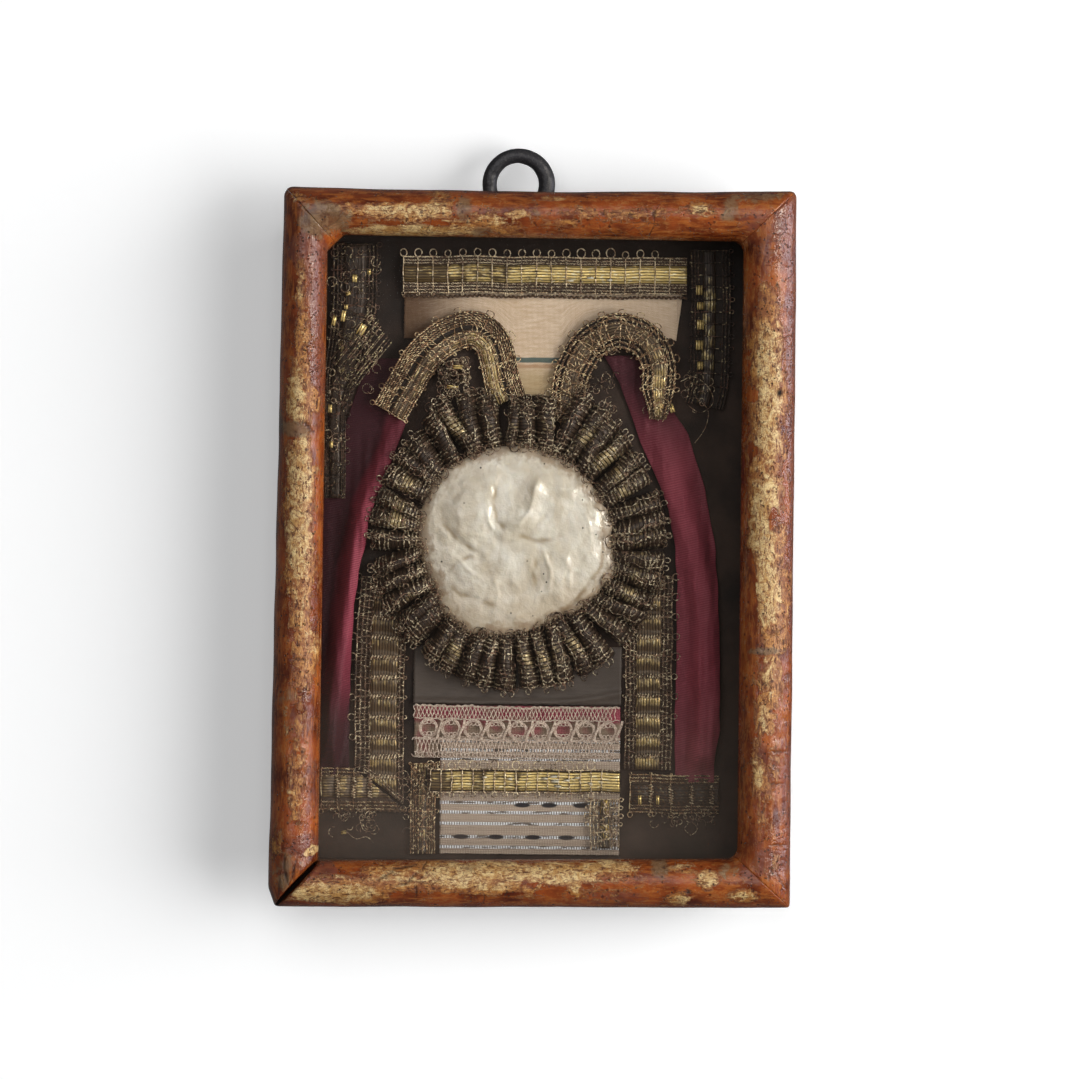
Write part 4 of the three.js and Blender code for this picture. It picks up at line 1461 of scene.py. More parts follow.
@dataclass
class Hanger:
    """The iron ring at the top and the wire staple that holds it."""

    x: float = -4.1
    depth: float = 6.0
    height: float = 71.3
    radius: float = 5.62
    wire: float = 1.42
    swell: float = 0.2
    staple_wire: float = 0.7
    half_gap: float = 2.4
    crown: float = 68.1
    foot: float = 61.5

    def _ring(self) -> bmesh.types.BMesh:
        """Returns the ring, thicker where its ends were hammered together.

        Returns:
            The ring.
        """
        form = bmesh.new()
        bmesh.ops.create_circle(form, cap_ends=False, segments=20, radius=self.wire)
        bmesh.ops.translate(form, vec=(self.radius, 0, 0), verts=form.verts)
        bmesh.ops.spin(
            form, geom=form.edges[:], cent=(0, 0, 0), axis=(0, 1, 0), angle=2 * math.pi,
            steps=72, use_merge=True,
        )
        bmesh.ops.remove_doubles(form, verts=form.verts, dist=0.001)
        for vert in form.verts:
            way = Vector((vert.co.x, 0, vert.co.z)).normalized()
            middle = way * self.radius
            wave = 1 + self.swell / self.wire * max(0.0, way.x)
            wave += 0.035 * drift(vert.co.x, vert.co.z, 2.1, 8.0)
            vert.co = middle + (vert.co - middle) * wave
            vert.co += at(self.x, self.height, self.depth)
        bmesh.ops.recalc_face_normals(form, faces=form.faces)
        return form

    def _staple(self) -> bpy.types.Mesh:
        """Returns the bent wire over the ring.

        Returns:
            The staple.
        """
        gap, spring = self.half_gap, self.crown - self.half_gap
        turns = [math.pi * i / 12 for i in range(13)]
        bend = [(spring + gap * math.sin(turn), gap * math.cos(turn)) for turn in turns]
        path = [(self.foot, gap), *bend, (self.foot, -gap)]
        wire = [at(self.x, height, self.depth - near) for height, near in path]
        return bundle([wire], self.staple_wire, corners=12)

    def build(self) -> None:
        """Makes the ring and the staple."""
        iron = BlackIron("black iron")
        Piece("iron_ring", "black_iron", ["hanging_ring"]).add(self._ring(), iron).show()
        Piece("iron_staple", "black_iron", ["ring_staple"]).add(self._staple(), iron).show()


@dataclass
class Studio:
    """The camera as in the photograph, a pale wall and floor, and soft light from the right."""

    roll: float = math.radians(0.6)
    middle: Spot = (0.00088, 0.00171)
    distance: float = 3.02
    lens: float = 512.8

    def _camera(self) -> None:
        """Sets the camera square to the wall, turned a little about its own line of sight."""
        data = bpy.data.cameras.new("camera")
        data.sensor_width = 36.0
        data.lens = self.lens
        camera = bpy.data.objects.new("camera", data)
        upright = Matrix.Rotation(math.pi / 2, 4, "X")
        place = Matrix.Translation((self.middle[0], -self.distance, self.middle[1]))
        camera.matrix_world = place @ Matrix.Rotation(-self.roll, 4, "Y") @ upright
        bpy.context.scene.collection.objects.link(camera)
        bpy.context.scene.camera = camera

    def _light(
        self, name: str, place: Sequence[float], size: Spot, power: float,
        shows: tuple[bool, bool] = (True, True), tint: Sequence[float] = (1, 1, 1),
    ) -> None:
        """Adds a soft rectangular light that faces the object.

        Args:
            name: the light's name.
            place: where it stands, in metres.
            size: its width and height.
            power: how strong it is.
            shows: whether it shows as a highlight and whether it lights matt surfaces.
            tint: its colour.
        """
        data = bpy.data.lights.new(name, "AREA")
        data.shape = "RECTANGLE"
        data.size, data.size_y = size
        data.energy = power
        data.color = tint
        light = bpy.data.objects.new(name, data)
        light.visible_camera = False
        light.visible_glossy, light.visible_diffuse = shows
        turn = (-Vector(place)).to_track_quat("-Z", "Z")
        light.matrix_world = Matrix.Translation(place) @ turn.to_matrix().to_4x4()
        bpy.context.scene.collection.objects.link(light)

    def _sheet(self, name: str, turn: Matrix, place: Sequence[float]) -> None:
        """Adds one pale square of the studio.

        Args:
            name: its name.
            turn: its rotation.
            place: where it hangs.
        """
        form = bmesh.new()
        bmesh.ops.create_grid(form, x_segments=2, y_segments=2, size=3.0)
        bmesh.ops.transform(form, matrix=Matrix.Translation(place) @ turn, verts=form.verts)
        mesh = bpy.data.meshes.new(name)
        form.to_mesh(mesh)
        form.free()
        mesh.materials.append(dressed(Plaster("pale plaster")))
        sheet = bpy.data.objects.new(name, mesh)
        bpy.context.scene.collection.objects.link(sheet)

    def build(self) -> None:
        """Sets up the camera, the wall, the floor and the lights."""
        self._camera()
        self._sheet("wall", Matrix.Rotation(math.pi / 2, 4, "X"), (0, 0.0008, 0))
        self._sheet("floor", Matrix.Identity(4), (0, 0, -1.2))
        soft, bright = (False, True), (True, False)
        self._light("window", (1.0, -0.7, 0.0), (0.9, 1.3), 21.5, soft)
        self._light("gleam", (1.2, -0.1, 0.1), (0.09, 1.4), 5.6, bright, (0.9, 0.9, 1.0))
        self._light("spark", (0.95, -0.95, 0.3), (0.3, 0.3), 8.0, bright, (1.0, 0.94, 0.82))
        self._light("front", (-0.3, -1.5, 0.55), (1.1, 1.1), 6.5)
        world = bpy.data.worlds.new("daylight")
        world.use_nodes = True
        sky = world.node_tree.nodes["Background"]
        sky.inputs["Color"].default_value = (0.96, 0.98, 1.0, 1)
        sky.inputs["Strength"].default_value = 0.12
        bpy.context.scene.world = world
        bpy.context.scene.view_settings.view_transform = "Standard"
        bpy.context.scene.view_settings.look = "None"


@dataclass
class Braid:
    """A length of woven braid: gilt strips under cross threads, between edges of wire.

    The places across run from 0 at the right-hand edge of its way to 1 at the left-hand edge.
    """

    node: str
    route: Sequence[Spot]
    width: Steps = ((0.0, 8.0),)
    back: Steps = ((0.0, 3.0),)
    shine: Steps = ((0.0, 0.3),)
    slot: str = "metal_braid"
    thickness: float = 1.3
    band: Spot = (0.27, 0.73)
    strips: int = 6
    edges: Sequence[float] = (0.04, 0.12, 0.2, 0.8, 0.88, 0.96)
    cords: Sequence[float] = ()
    rung: float = 2.4
    loops: Spot = (0.5, 0.9)
    pucker: float = 0.0
    fold: float = 0.55
    sag: float = 0.0
    lattice: int = 0
    net: float = 0.0
    cut_end: float = 0.0
    gilt: GiltStrip = GiltStrip("gilt strip")
    wire: GiltWire = GiltWire("gilt wire")
    ground: Finish | None = PlainThread("braid ground", "2c2019", "4e3c2e")
    cord: float = 1.0

    TWIST = 0.95
    STEP = 0.24
    WIRE = 0.08
    SLACK_WIRE = 0.09
    CROSS_WIRE = 0.105
    COIL_WIRE = 0.12
    CORE = 0.16
    CORD = 0.24

    def __post_init__(self) -> None:
        """Draws the route and gives the braid its own unevenness."""
        self.line = Route(self.route)
        self.seed = sum(map(ord, self.node)) * 0.37
        self.low, self.high = min(self.edges), max(self.edges)
        self.pitch = self.pucker or self.rung

    def _reach(self, along: float, across: float) -> float:
        """Returns the distance along the route of a share of a lengthwise thread."""
        return (self.line.length + self.cut_end * (across - 0.5)) * along

    def _wide(self, distance: float) -> float:
        """Returns the braid's width at a distance."""
        return follow(self.width, distance / self.line.length)

    def _crest(self, distance: float, across: float) -> float:
        """Returns how near a place is to the top of a pucker, or of a bulge between rungs.

        Args:
            distance: how far along the braid, in millimetres.
            across: how far across it, in millimetres.

        Returns:
            1 on a crest, 0 between two.
        """
        bow = self.sag * (1 - (2 * across - 1) ** 2)
        loose = 0.35 * drift(distance, across * 5, 4.0, self.seed)
        return abs(math.sin(math.pi * (distance - bow + loose) / self.pitch))

    def point(self, distance: float, across: float, lift: float = 0.0) -> Vector:
        """Returns a place on the braid's face.

        Args:
            distance: how far along the route.
            across: the share across the braid.
            lift: how far in front of the face.

        Returns:
            The place.
        """
        centre, way = self.line.at(distance)
        side = (across - 0.5) * self._wide(distance)
        side += 0.22 * drift(distance, across * 2, 6.0, self.seed + 3)
        spot = centre + Vector((-way.y, way.x)) * side
        body = 0.62 + 0.38 * ease(-0.06, 0.1, min(across - self.band[0], self.band[1] - across))
        rise = self.thickness * body
        crest = self._crest(distance, across)
        rise += self.fold * (crest - 0.75) * body if self.pucker else 0.14 * crest - 0.1
        return at(*spot, follow(self.back, distance / self.line.length) + rise + lift)

    def _band(self) -> bmesh.types.BMesh:
        """Returns the flat strips in the middle, each slightly crowned.

        Returns:
            The strips, joined in one form.
        """
        low, high = self.band
        rows = 2 * self.strips
        columns = max(6, round(self.line.length / (0.36 if self.pucker else 0.48)))
        wide = (high - low) * follow(self.width, 0.5)

        def where(along: float, across: float) -> Vector:
            """Returns a corner's place, higher along the middle of each strip."""
            place = mix(low, high, across)
            return self.point(self._reach(along, place), place, 0.09 * (round(across * rows) % 2))

        size = (self.line.length, wide)
        return cloth_grid(columns, rows, size, where, {"bright": self._bright})

    def _bright(self, along: float, across: float) -> float:
        """Returns how bright the strips are at a place on the band, block by block, with painted
        light on crests.

        Args:
            along: the share of the band's length.
            across: the share of its width.

        Returns:
            The brightness.
        """
        place = mix(*self.band, across)
        distance = self._reach(along, place)
        crest = self._crest(distance, place)
        strip = 0.3 * drift(distance, across * self.strips * 2.3, 2.6, self.seed + 5)
        block, row = math.floor(distance / self.rung), math.floor(across * 3)
        strip += 0.4 * drift(block * 7.3, row * 5.1, 1.0, self.seed + 9)
        # Painted light and shade: lighter on each crest and darker in the valleys between.
        sunk = 1.6 * (crest - 0.9) if self.pucker else 0.25 * (crest - 0.5)
        return follow(self.shine, along) + sunk + strip

    def _ground(self) -> bmesh.types.BMesh:
        """Returns the brown threads that fill the braid behind its wires.

        Returns:
            The ground.
        """
        columns = max(6, round(self.line.length / 0.5))
        low, high = self.low + 0.01, self.high - 0.01

        def where(along: float, across: float) -> Vector:
            """Returns a corner's place, behind the braid's face."""
            place = mix(low, high, across)
            return self.point(self._reach(along, place), place, -0.16)

        return cloth_grid(columns, 10, (self.line.length, follow(self.width, 0.5)), where)

    def _run(self, across: float, turn: float, swing: float, lift: float) -> list[Vector]:
        """Returns one lengthwise wire that winds round its place across the braid.

        Args:
            across: the wire's place across the braid.
            turn: where its winding starts.
            swing: how far it winds to the side.
            lift: how high it lies.

        Returns:
            Its points.
        """
        count = max(4, round(self.line.length / self.STEP))
        path = []
        for i in range(count + 1):
            distance = self._reach(i / count, across)
            round_ = turn + 41 * across + 2 * math.pi * distance / (self.TWIST * self.cord)
            wander = 0.1 * drift(distance, across * 9, 2.2, self.seed + turn)
            side = across + (swing * math.cos(round_) + wander) / self._wide(distance)
            path.append(self.point(distance, side, lift + swing * math.sin(round_)))
        return path

    def _rungs(self, phase: int) -> list[Vector]:
        """Returns a cross thread that loops over at each edge and comes back.

        Args:
            phase: 0 or 1, which edge it loops at first.

        Returns:
            Its points.
        """
        path = []
        count = int(self.line.length / self.pitch)
        for i in range(count):
            start = (i + 0.02) * self.pitch
            up = (i + phase) % 2 == 0
            for step in range(9):
                across = mix(self.low, self.high, step / 8 if up else 1 - step / 8)
                shift = 0.22 * drift(start, across * 6, 2.0, self.seed + 11)
                path.append(self.point(start + shift, across, 0.22))
            if i == count - 1:
                break
            edge = self.high if up else self.low
            size = 0.5 * (self.loops[1] if up else self.loops[0])
            size *= 1 + 0.35 * drift(start, 1.0, 1.7, self.seed + 13)
            for step in range(1, 12):
                turn = 2 * math.pi * step / 11 - math.pi / 2
                distance = start + size * math.cos(turn) * 0.9
                out = (1 if up else -1) * size * (1 + math.sin(turn)) / self._wide(start)
                path.append(self.point(distance, edge + out, 0.15 + 0.12 * math.cos(turn)))
            for step in range(1, 4):
                path.append(self.point(start + self.pitch * step / 4, edge, 0.15))
        return path

    def _coil(self, index: int) -> list[Vector]:
        """Returns the wire that is wound round a rung, so that it shows as a row of dashes.

        Args:
            index: which rung.

        Returns:
            Its points.
        """
        start = (index + 0.02) * self.pitch
        count = round(self._wide(start) * (self.band[1] - self.band[0]) / 0.56) * 6
        path = []
        for i in range(count):
            across = mix(*self.band, i / count)
            turn = 2 * math.pi * i / 6
            shift = 0.22 * drift(start, across * 6, 2.0, self.seed + 11)
            distance = start + shift + 0.42 * math.cos(turn)
            path.append(self.point(distance, across, 0.24 + 0.28 * math.sin(turn)))
        return path

    def _net(self, edge: float, inner: float) -> list[Vector]:
        """Returns one wire that goes to and fro between the edge and the gilt strips.

        Args:
            edge: where it turns back outside.
            inner: where it turns back inside.

        Returns:
            Its points.
        """
        count = int(self.line.length / self.net)
        path = []
        for i in range(count):
            ends = (edge, inner) if i % 2 else (inner, edge)
            for step in range(5):
                across = mix(*ends, step / 4)
                loose = 0.25 * drift(i, across * 4, 1.3, self.seed + 17)
                distance = (i + 0.1 * step) * self.net + loose
                path.append(self.point(distance, across, 0.14 + 0.1 * (step % 2)))
        return path

    def _zigzag(self, index: int) -> list[Vector]:
        """Returns one slack wire that wanders over the middle of the braid and back.

        Args:
            index: which wire.

        Returns:
            Its points.
        """
        path = []
        for i in range(round(self.line.length / 0.3)):
            distance = i * 0.3
            swing = drift(distance, index * 3.1, 2.4, self.seed + 20) * 1.9
            across = mix(self.low, self.high, 0.5 + 0.5 * max(-1.0, min(1.0, swing)))
            lift = 0.2 + 0.3 * drift(distance, index, 1.1, self.seed)
            path.append(self.point(distance + 1.4 * drift(distance, 2, 1.5, index), across, lift))
        return path

    def build(self) -> None:
        """Makes the braid."""
        piece = Piece(f"woven_{self.node}", self.slot, [self.node])
        if self.ground:
            piece.add(thicken(self._ground(), 0.2), self.ground)
        piece.add(thicken(self._band(), 0.35), self.gilt)
        runs = [
            self._run(across, turn, 0.11 * self.cord, 0.12)
            for across in self.edges for turn in (0.0, math.pi)
        ]
        piece.add(bundle(runs, self.WIRE * self.cord), self.wire)
        slack = [self._zigzag(i) for i in range(self.lattice)]
        piece.add(bundle(slack, self.SLACK_WIRE), self.wire)
        cores = [self._run(across, 0.0, 0.0, 0.04) for across in self.edges]
        core = PlainThread("wound core", "2b1f16", "55402e")
        piece.add(bundle(cores, self.CORE * self.cord, corners=6), core)
        threads = [self._rungs(0), self._rungs(1)]
        if self.net:
            threads += [self._net(self.low, self.band[0]), self._net(self.high, self.band[1])]
        if self.pucker:
            coils = [self._coil(i) for i in range(1, int(self.line.length / self.pucker) + 1)]
            piece.add(bundle(coils, self.COIL_WIRE), TOP_WIRE)
        piece.add(bundle(threads, self.CROSS_WIRE), self.wire)
        if self.cords:
            cords = [self._run(across, 1.0, 0.16, -0.15) for across in self.cords]
            core = PlainThread("brown core", "2c1d12", "5a4028")
            piece.add(bundle(cords, self.CORD, corners=6), core)
        piece.show()


TOP_WIRE = GiltWire("bright wire", "574433", "b09270", "ffe9c0", 0.9)
ARCH_WIRE = GiltWire("coppery wire", "553c26", "a57f5a", "ffe6b4", 0.6)
DARK_WIRE = GiltWire("tarnished wire", "211812", "43342a", "dcc9a0", -0.1)
MID_WIRE = GiltWire("worn wire", "443429", "856b54", "ecd9b2", 0.4)
TOP_GILT = GiltStrip("bright gilding", "5b4726", "f0d084")
DARK_GILT = GiltStrip("tarnished gilding", "3a2c20", "b7a06c")
SIDE_GILT = GiltStrip("gathered gilding", "5c4933", "c6a970")
SHADED = PlainThread("shaded ground", "1c1510", "31261e")
TWISTED = (0.02, 0.1, 0.18, 0.27, 0.62, 0.69, 0.76, 0.83, 0.9, 0.97)


def straight_braids() -> list[Braid]:
    """Returns the braids that lie straight or follow the sides of the box.

    Returns:
        The braids.
    """
    return [
        Braid(
            "braid_top", ((-26.5, 54.0), (29.1, 54.0)), width=((0, 9.2),), back=((0, 3.6),),
            shine=((0, -0.1), (0.2, 0.3), (0.38, 0.5), (0.5, 0.95), (0.8, 1.05), (1, 1.0)),
            slot="bright_braid", band=(0.3, 0.67), strips=6,
            edges=(0.08, 0.14, 0.21, 0.27, 0.71, 0.77, 0.84), cords=(0.0,), rung=2.9,
            loops=(0.6, 1.5), gilt=TOP_GILT, wire=TOP_WIRE,
        ),
        Braid(
            "braid_upper_left",
            ((-36.0, 59.3), (-36.0, 47.0), (-37.2, 38.0), (-39.4, 29.0), (-39.4, 9.5)),
            width=((0, 9.4), (0.45, 8.4), (0.62, 4.6), (1, 4.2)),
            shine=((0, -0.2), (0.3, -0.1), (0.36, 0.3), (0.45, -0.1), (1, -0.1)),
            lattice=4, gilt=DARK_GILT, wire=DARK_WIRE, ground=SHADED,
        ),
        Braid(
            "braid_upper_right", ((33.7, 58.8), (33.7, 33.0), (32.8, 28.3)),
            shine=((0, -0.1), (0.2, 0.1), (0.3, 0.5), (0.6, 0.25), (0.72, 0.45), (0.8, -0.1)),
            band=(0.3, 0.62), strips=4, gilt=DARK_GILT, wire=DARK_WIRE, ground=SHADED,
        ),
        Braid(
            "braid_side_left", ((-29.3, -6.0), (-30.2, -20.0), (-30.2, -46.6)),
            width=((0, 10.2),), shine=((0, 0.2), (0.5, 0.2), (1, 0.5)), band=(0.32, 0.84),
            strips=13, edges=(0.04, 0.13, 0.22, 0.3, 0.88, 0.96), loops=(1.4, 0.7), pucker=3.9,
            net=1.15, sag=-1.1, cut_end=8.0, gilt=SIDE_GILT, wire=MID_WIRE,
        ),
        Braid(
            "braid_side_right", ((22.5, -5.2), (22.5, -43.1)), width=((0, 9.6),),
            shine=((0, 0.3), (0.5, 0.5), (1, 0.55)), slot="bright_braid", band=(0.24, 0.74),
            strips=12, edges=(0.03, 0.11, 0.19, 0.79, 0.87, 0.96), loops=(0.7, 1.5), pucker=3.9,
            net=1.1, sag=-0.9, gilt=SIDE_GILT, wire=MID_WIRE,
        ),
        Braid(
            "braid_bottom_left", ((-41.6, -47.4), (-30.2, -47.4)), width=((0, 8.6),),
            shine=((0, 0.1), (0.4, 0.45), (1, 0.6)), band=(0.3, 0.8), strips=10, pucker=3.2,
            sag=-0.6, cut_end=-10.8, loops=(1.2, 0.3), cords=(0.01, 0.09, 0.17), gilt=SIDE_GILT,
            wire=ARCH_WIRE,
        ),
        Braid(
            "braid_bottom_right", ((19.0, -47.8), (36.4, -47.8)),
            shine=((0, 0.2), (0.35, 0.2), (0.5, 0.0), (1, -0.1)), strips=9, pucker=4.0,
            cords=(0.12, 0.3, 0.42, 0.54, 0.66, 0.84), loops=(1.0, 0.5), gilt=DARK_GILT,
            wire=ARCH_WIRE,
        ),
        Braid(
            "gold_band", ((-20.2, -45.6), (17.0, -45.6)), width=((0, 4.7),), back=((0, 4.5),),
            shine=(
                (0, 0.0), (0.08, 0.1), (0.13, 0.8), (0.2, 0.7), (0.23, 0.3), (0.28, 0.35),
                (0.31, 0.8), (0.42, 0.7), (0.46, 0.25), (0.5, 0.85), (0.6, 0.7), (0.64, 1.2),
                (0.72, 1.2), (0.75, 0.6), (0.82, 1.0), (1, 0.85),
            ),
            slot="bright_braid", band=(0.1, 0.9), strips=5, edges=(0.03, 0.97),
            loops=(1.1, 1.7), rung=2.1, gilt=TOP_GILT, wire=TOP_WIRE,
        ),
        Braid(
            "braid_short_left", ((-21.4, -42.3), (-21.4, -60.0)), width=((0, 5.4),),
            shine=((0, 0.5), (0.4, 0.3), (1, 0.1)), strips=4, band=(0.3, 0.62), rung=3.1,
            edges=(0.04, 0.13, 0.22, 0.31, 0.48, 0.64, 0.73, 0.82, 0.91), lattice=4,
            gilt=DARK_GILT, wire=ARCH_WIRE,
        ),
        Braid(
            "braid_short_right", ((14.1, -49.0), (14.1, -58.6)), width=((0, 6.0),),
            back=((0, 4.05),), strips=3, edges=(0.04, 0.15, 0.27, 0.73, 0.84, 0.96), lattice=4,
            band=(0.35, 0.65), shine=((0, 0.5), (1, 0.1)), loops=(1.0, 0.8), rung=1.6, ground=None,
            wire=TOP_WIRE,
        ),
    ]


def arches() -> list[Braid]:
    """Returns the two arches over the disc and the curl inside the left one.

    Returns:
        The left arch, the right arch and the curl.
    """
    coil = [
        (-16.3 + 2.0 * math.cos(turn), 33.6 + 2.0 * math.sin(turn))
        for turn in (mix(-0.6, 4.4, i / 6) for i in range(7))
    ]
    return [
        Braid(
            "arch_left",
            (
                (-28.9, 26.4), (-25.6, 32.3), (-22.0, 38.0), (-17.4, 41.6), (-12.4, 42.9),
                (-9.0, 40.6), (-7.6, 36.6), (-6.7, 32.4), (-5.4, 29.0),
            ),
            width=((0, 7.2),), back=((0, 5.4), (0.35, 5.2), (0.5, 3.7), (1, 3.7)),
            shine=((0, 0.0), (0.3, 0.15), (0.5, 0.1), (0.62, 0.6), (0.8, 0.9), (1, 0.7)),
            thickness=1.4, band=(0.12, 0.5), edges=(0.02, 0.09, 0.26, 0.44, *TWISTED[3:]),
            lattice=2, loops=(0.6, 1.0), rung=3.7, gilt=SIDE_GILT, wire=ARCH_WIRE, cord=1.2,
            ground=SHADED,
        ),
        Braid(
            "arch_right",
            (
                (3.4, 25.4), (5.8, 29.6), (7.0, 35.0), (9.9, 40.0), (15.5, 42.9), (21.0, 41.2),
                (23.6, 36.5), (23.8, 31.0), (23.7, 25.6),
            ),
            width=((0, 3.2), (0.12, 7.0), (0.3, 7.4), (0.86, 6.8), (1, 3.0)),
            back=((0, 3.7), (0.35, 3.7), (0.55, 5.4), (1, 5.4)),
            shine=((0, -0.1), (0.55, 0.0), (0.75, 0.4), (0.85, 0.8), (1, 0.4)), thickness=1.4,
            edges=(0.05, 0.18, 0.31, 0.71, 0.83, 0.95), lattice=4, loops=(0.6, 1.1),
            rung=2.6, gilt=SIDE_GILT, wire=ARCH_WIRE, cord=1.4, ground=SHADED,
        ),
        Braid(
            "braid_curl", coil, width=((0, 2.6),), thickness=2.2, strips=4,
            shine=((0, 0.9), (0.06, 0.0), (0.3, 0.0), (0.36, 0.8), (0.44, 0.0), (1, 0.0)),
            edges=(0.1, 0.5, 0.9), loops=(0.4, 0.6), rung=1.1, lattice=2, gilt=DARK_GILT,
            wire=MID_WIRE,
        ),
    ]


@dataclass
class WaxDisc:
    """The moulded disc of wax: a low dome with a ragged rim and a worn, folded surface."""

    centre: Spot = (-3.4, 1.3)
    back: float = 3.0
    rim: float = 6.2
    crown: float = 9.0
    radii: Sequence[float] = (
        18.3, 18.8, 18.1, 18.5, 18.3, 18.1, 18.8, 19.1, 19.4, 20.1, 20.1, 19.8,
        19.2, 18.9, 18.5, 20.2, 20.4, 19.0, 18.1, 17.0, 16.7, 18.0, 18.8, 19.7,
    )
    lobes: Sequence[tuple[float, float, float, float, float, float, float]] = (
        (-12.2, 7.6, 7.4, 5.4, 60, 0.6, 0.3), (-1.4, 9.6, 9.0, 3.6, 62, 0.5, 0.1),
        (6.2, 11.4, 8.0, 5.4, -20, 0.3, 0.0), (10.8, 3.4, 9.5, 4.6, 80, 0.3, 0.0),
        (-13.0, -5.2, 6.8, 4.2, -16, 0.3, 0.0), (-7.0, -12.2, 8.4, 3.8, 4, 0.3, 0.0),
        (3.6, -6.0, 9.4, 3.8, 74, 0.4, 0.1), (-4.6, -3.0, 6.4, 3.2, 28, 0.35, 0.1),
    )
    creases: Sequence[tuple[float, float, Sequence[Spot]]] = (
        (0.7, -0.24, ((-18.6, 5.6), (-16.2, 3.0), (-14.3, 0.6), (-12.0, -1.3), (-8.9, -3.4))),
        (0.6, -0.12, ((-8.9, -3.4), (-12.6, -2.2), (-15.4, -3.2), (-17.4, -5.6))),
        (0.7, -0.2, ((-7.6, 12.4), (-8.2, 9.1), (-7.4, 5.0), (-5.6, 2.6))),
        (1.5, 0.24, ((0.6, 14.4), (-0.6, 11.0), (-2.2, 7.2), (-5.2, 2.9))),
        (0.5, 0.26, ((0.9, 14.6), (0.0, 11.2), (-1.6, 7.6), (-4.0, 4.0))),
        (0.5, 0.26, ((-9.6, 8.0), (-9.3, 5.4), (-8.2, 2.6))),
        (0.6, -0.14, ((-17.2, -7.0), (-14.6, -9.2), (-11.4, -9.8), (-6.8, -12.0))),
        (0.4, 0.14, ((-8.0, -5.4), (-7.2, -8.4), (-7.8, -11.6))),
        (0.5, -0.1, ((0.4, -1.2), (-0.6, -4.0), (-0.2, -8.0))),
        (0.4, 0.16, ((-16.2, -1.0), (-13.0, -4.4), (-9.6, -6.0))),
        (0.5, 0.16, ((8.0, 8.6), (10.4, 5.0), (11.0, 0.6))),
        (0.6, 0.24, ((-6.4, -13.4), (-3.5, -13.0), (-0.4, -14.0))),
        (0.6, -0.14, ((-3.8, 2.6), (0.6, 1.2), (5.4, 2.4))),
        (0.7, 0.26, ((-20.6, 6.0), (-18.9, 12.0), (-14.6, 16.8), (-9.0, 18.6))),
        (0.5, -0.16, ((12.4, 9.5), (13.6, 3.0), (12.6, -3.2), (9.4, -8.2), (4.8, -12.0))),
        (0.5, 0.26, ((2.2, 0.0), (3.0, -4.0), (2.2, -8.6))),
        (0.5, 0.24, ((5.6, -0.4), (7.0, -4.4), (6.4, -8.6))),
        (0.6, 0.12, ((-0.8, -1.2), (-0.4, -4.6), (-1.4, -9.4))),
    )

    ROWS = 76
    SKIRT = 6
    TURNS = 250

    def edge(self, turn: float) -> float:
        """Returns the rim's radius in a direction.

        Args:
            turn: the direction in radians.

        Returns:
            The radius in millimetres.
        """
        place = (turn / (2 * math.pi) % 1.0) * len(self.radii)
        low = int(place)
        share = ease(0.0, 1.0, place - low)
        radius = mix(self.radii[low % 24], self.radii[(low + 1) % 24], share)
        return radius + 0.3 * drift(6 * math.cos(turn), 6 * math.sin(turn), 0.9, 21)

    def _stroke(self, x: float, z: float, width: float, points: Sequence[Spot]) -> float:
        """Returns how near a place is to a line drawn through points: 1 on it, 0 far away.

        Args:
            x: the place from left to right.
            z: the place upwards.
            width: how wide the line is.
            points: its points.

        Returns:
            The nearness.
        """
        nearest = 9.0
        spot = Vector((x, z))
        ends = min((spot - Vector(points[0])).length, (spot - Vector(points[-1])).length)
        for first, last in zip(points, points[1:]):
            start, run = Vector(first), Vector(last) - Vector(first)
            share = min(1.0, max(0.0, (spot - start).dot(run) / run.length_squared))
            nearest = min(nearest, (spot - start - run * share).length)
        return bell(nearest, width) * ease(0.0, 2.4, ends + 0.4) if nearest < 3 * width else 0.0

    @staticmethod
    def _bent(x: float, z: float) -> Spot:
        """Returns the place moved about, so that no fold runs straight."""
        return x + 1.1 * drift(x, z, 6.0, 22), z + 1.1 * drift(x, z, 6.0, 23)

    def _relief(self, x: float, z: float) -> float:
        """Returns how far the folds rise or sink at a place.

        Args:
            x: the place from left to right.
            z: the place upwards.

        Returns:
            The rise in millimetres.
        """
        bent_x, bent_z = self._bent(x, z)
        rise = 0.0
        for sx, sz, long, wide, turn, tall, crisp in self.lobes:
            along, across = turned(bent_x - sx, bent_z - sz, turn)
            rise += tall * (1 - ease(crisp, 1.3, math.hypot(along / long, across / wide)))
        for width, tall, points in self.creases:
            rise += tall * self._stroke(bent_x, bent_z, width, points)
        rise += 0.3 * drift(x, z, 3.4, 24) + 0.12 * drift(x, z * 0.7, 1.4, 25)
        return rise

    def _seam(self, x: float, z: float) -> float:
        """Returns how near a place is to the middle of a sunken crease, which is coloured brown.

        Args:
            x: the place from left to right.
            z: the place upwards.

        Returns:
            The share of brown.
        """
        bent = self._bent(x, z)
        near = [self._stroke(*bent, 0.5, points) for _, tall, points in self.creases if tall < 0]
        return max(near) * ease(-0.6, 0.3, drift(x, z, 2.2, 26))

    def _hollow_shade(self, x: float, z: float) -> float:
        """Returns how far a place lies below those around it, where shade is painted.

        Args:
            x: the place from left to right.
            z: the place upwards.

        Returns:
            The share of painted shade.
        """
        around = sum(
            self._relief(x + 0.9 * math.cos(turn), z + 0.9 * math.sin(turn))
            for turn in (0.3, 2.4, 4.5)
        ) / 3
        return max(0.0, min(1.0, 5.0 * (around - self._relief(x, z))))

    def _top(self, share: float) -> float:
        """Returns the share of the radius at a share of the way over the dome."""
        return min(1.0, share * (self.ROWS + self.SKIRT) / self.ROWS)

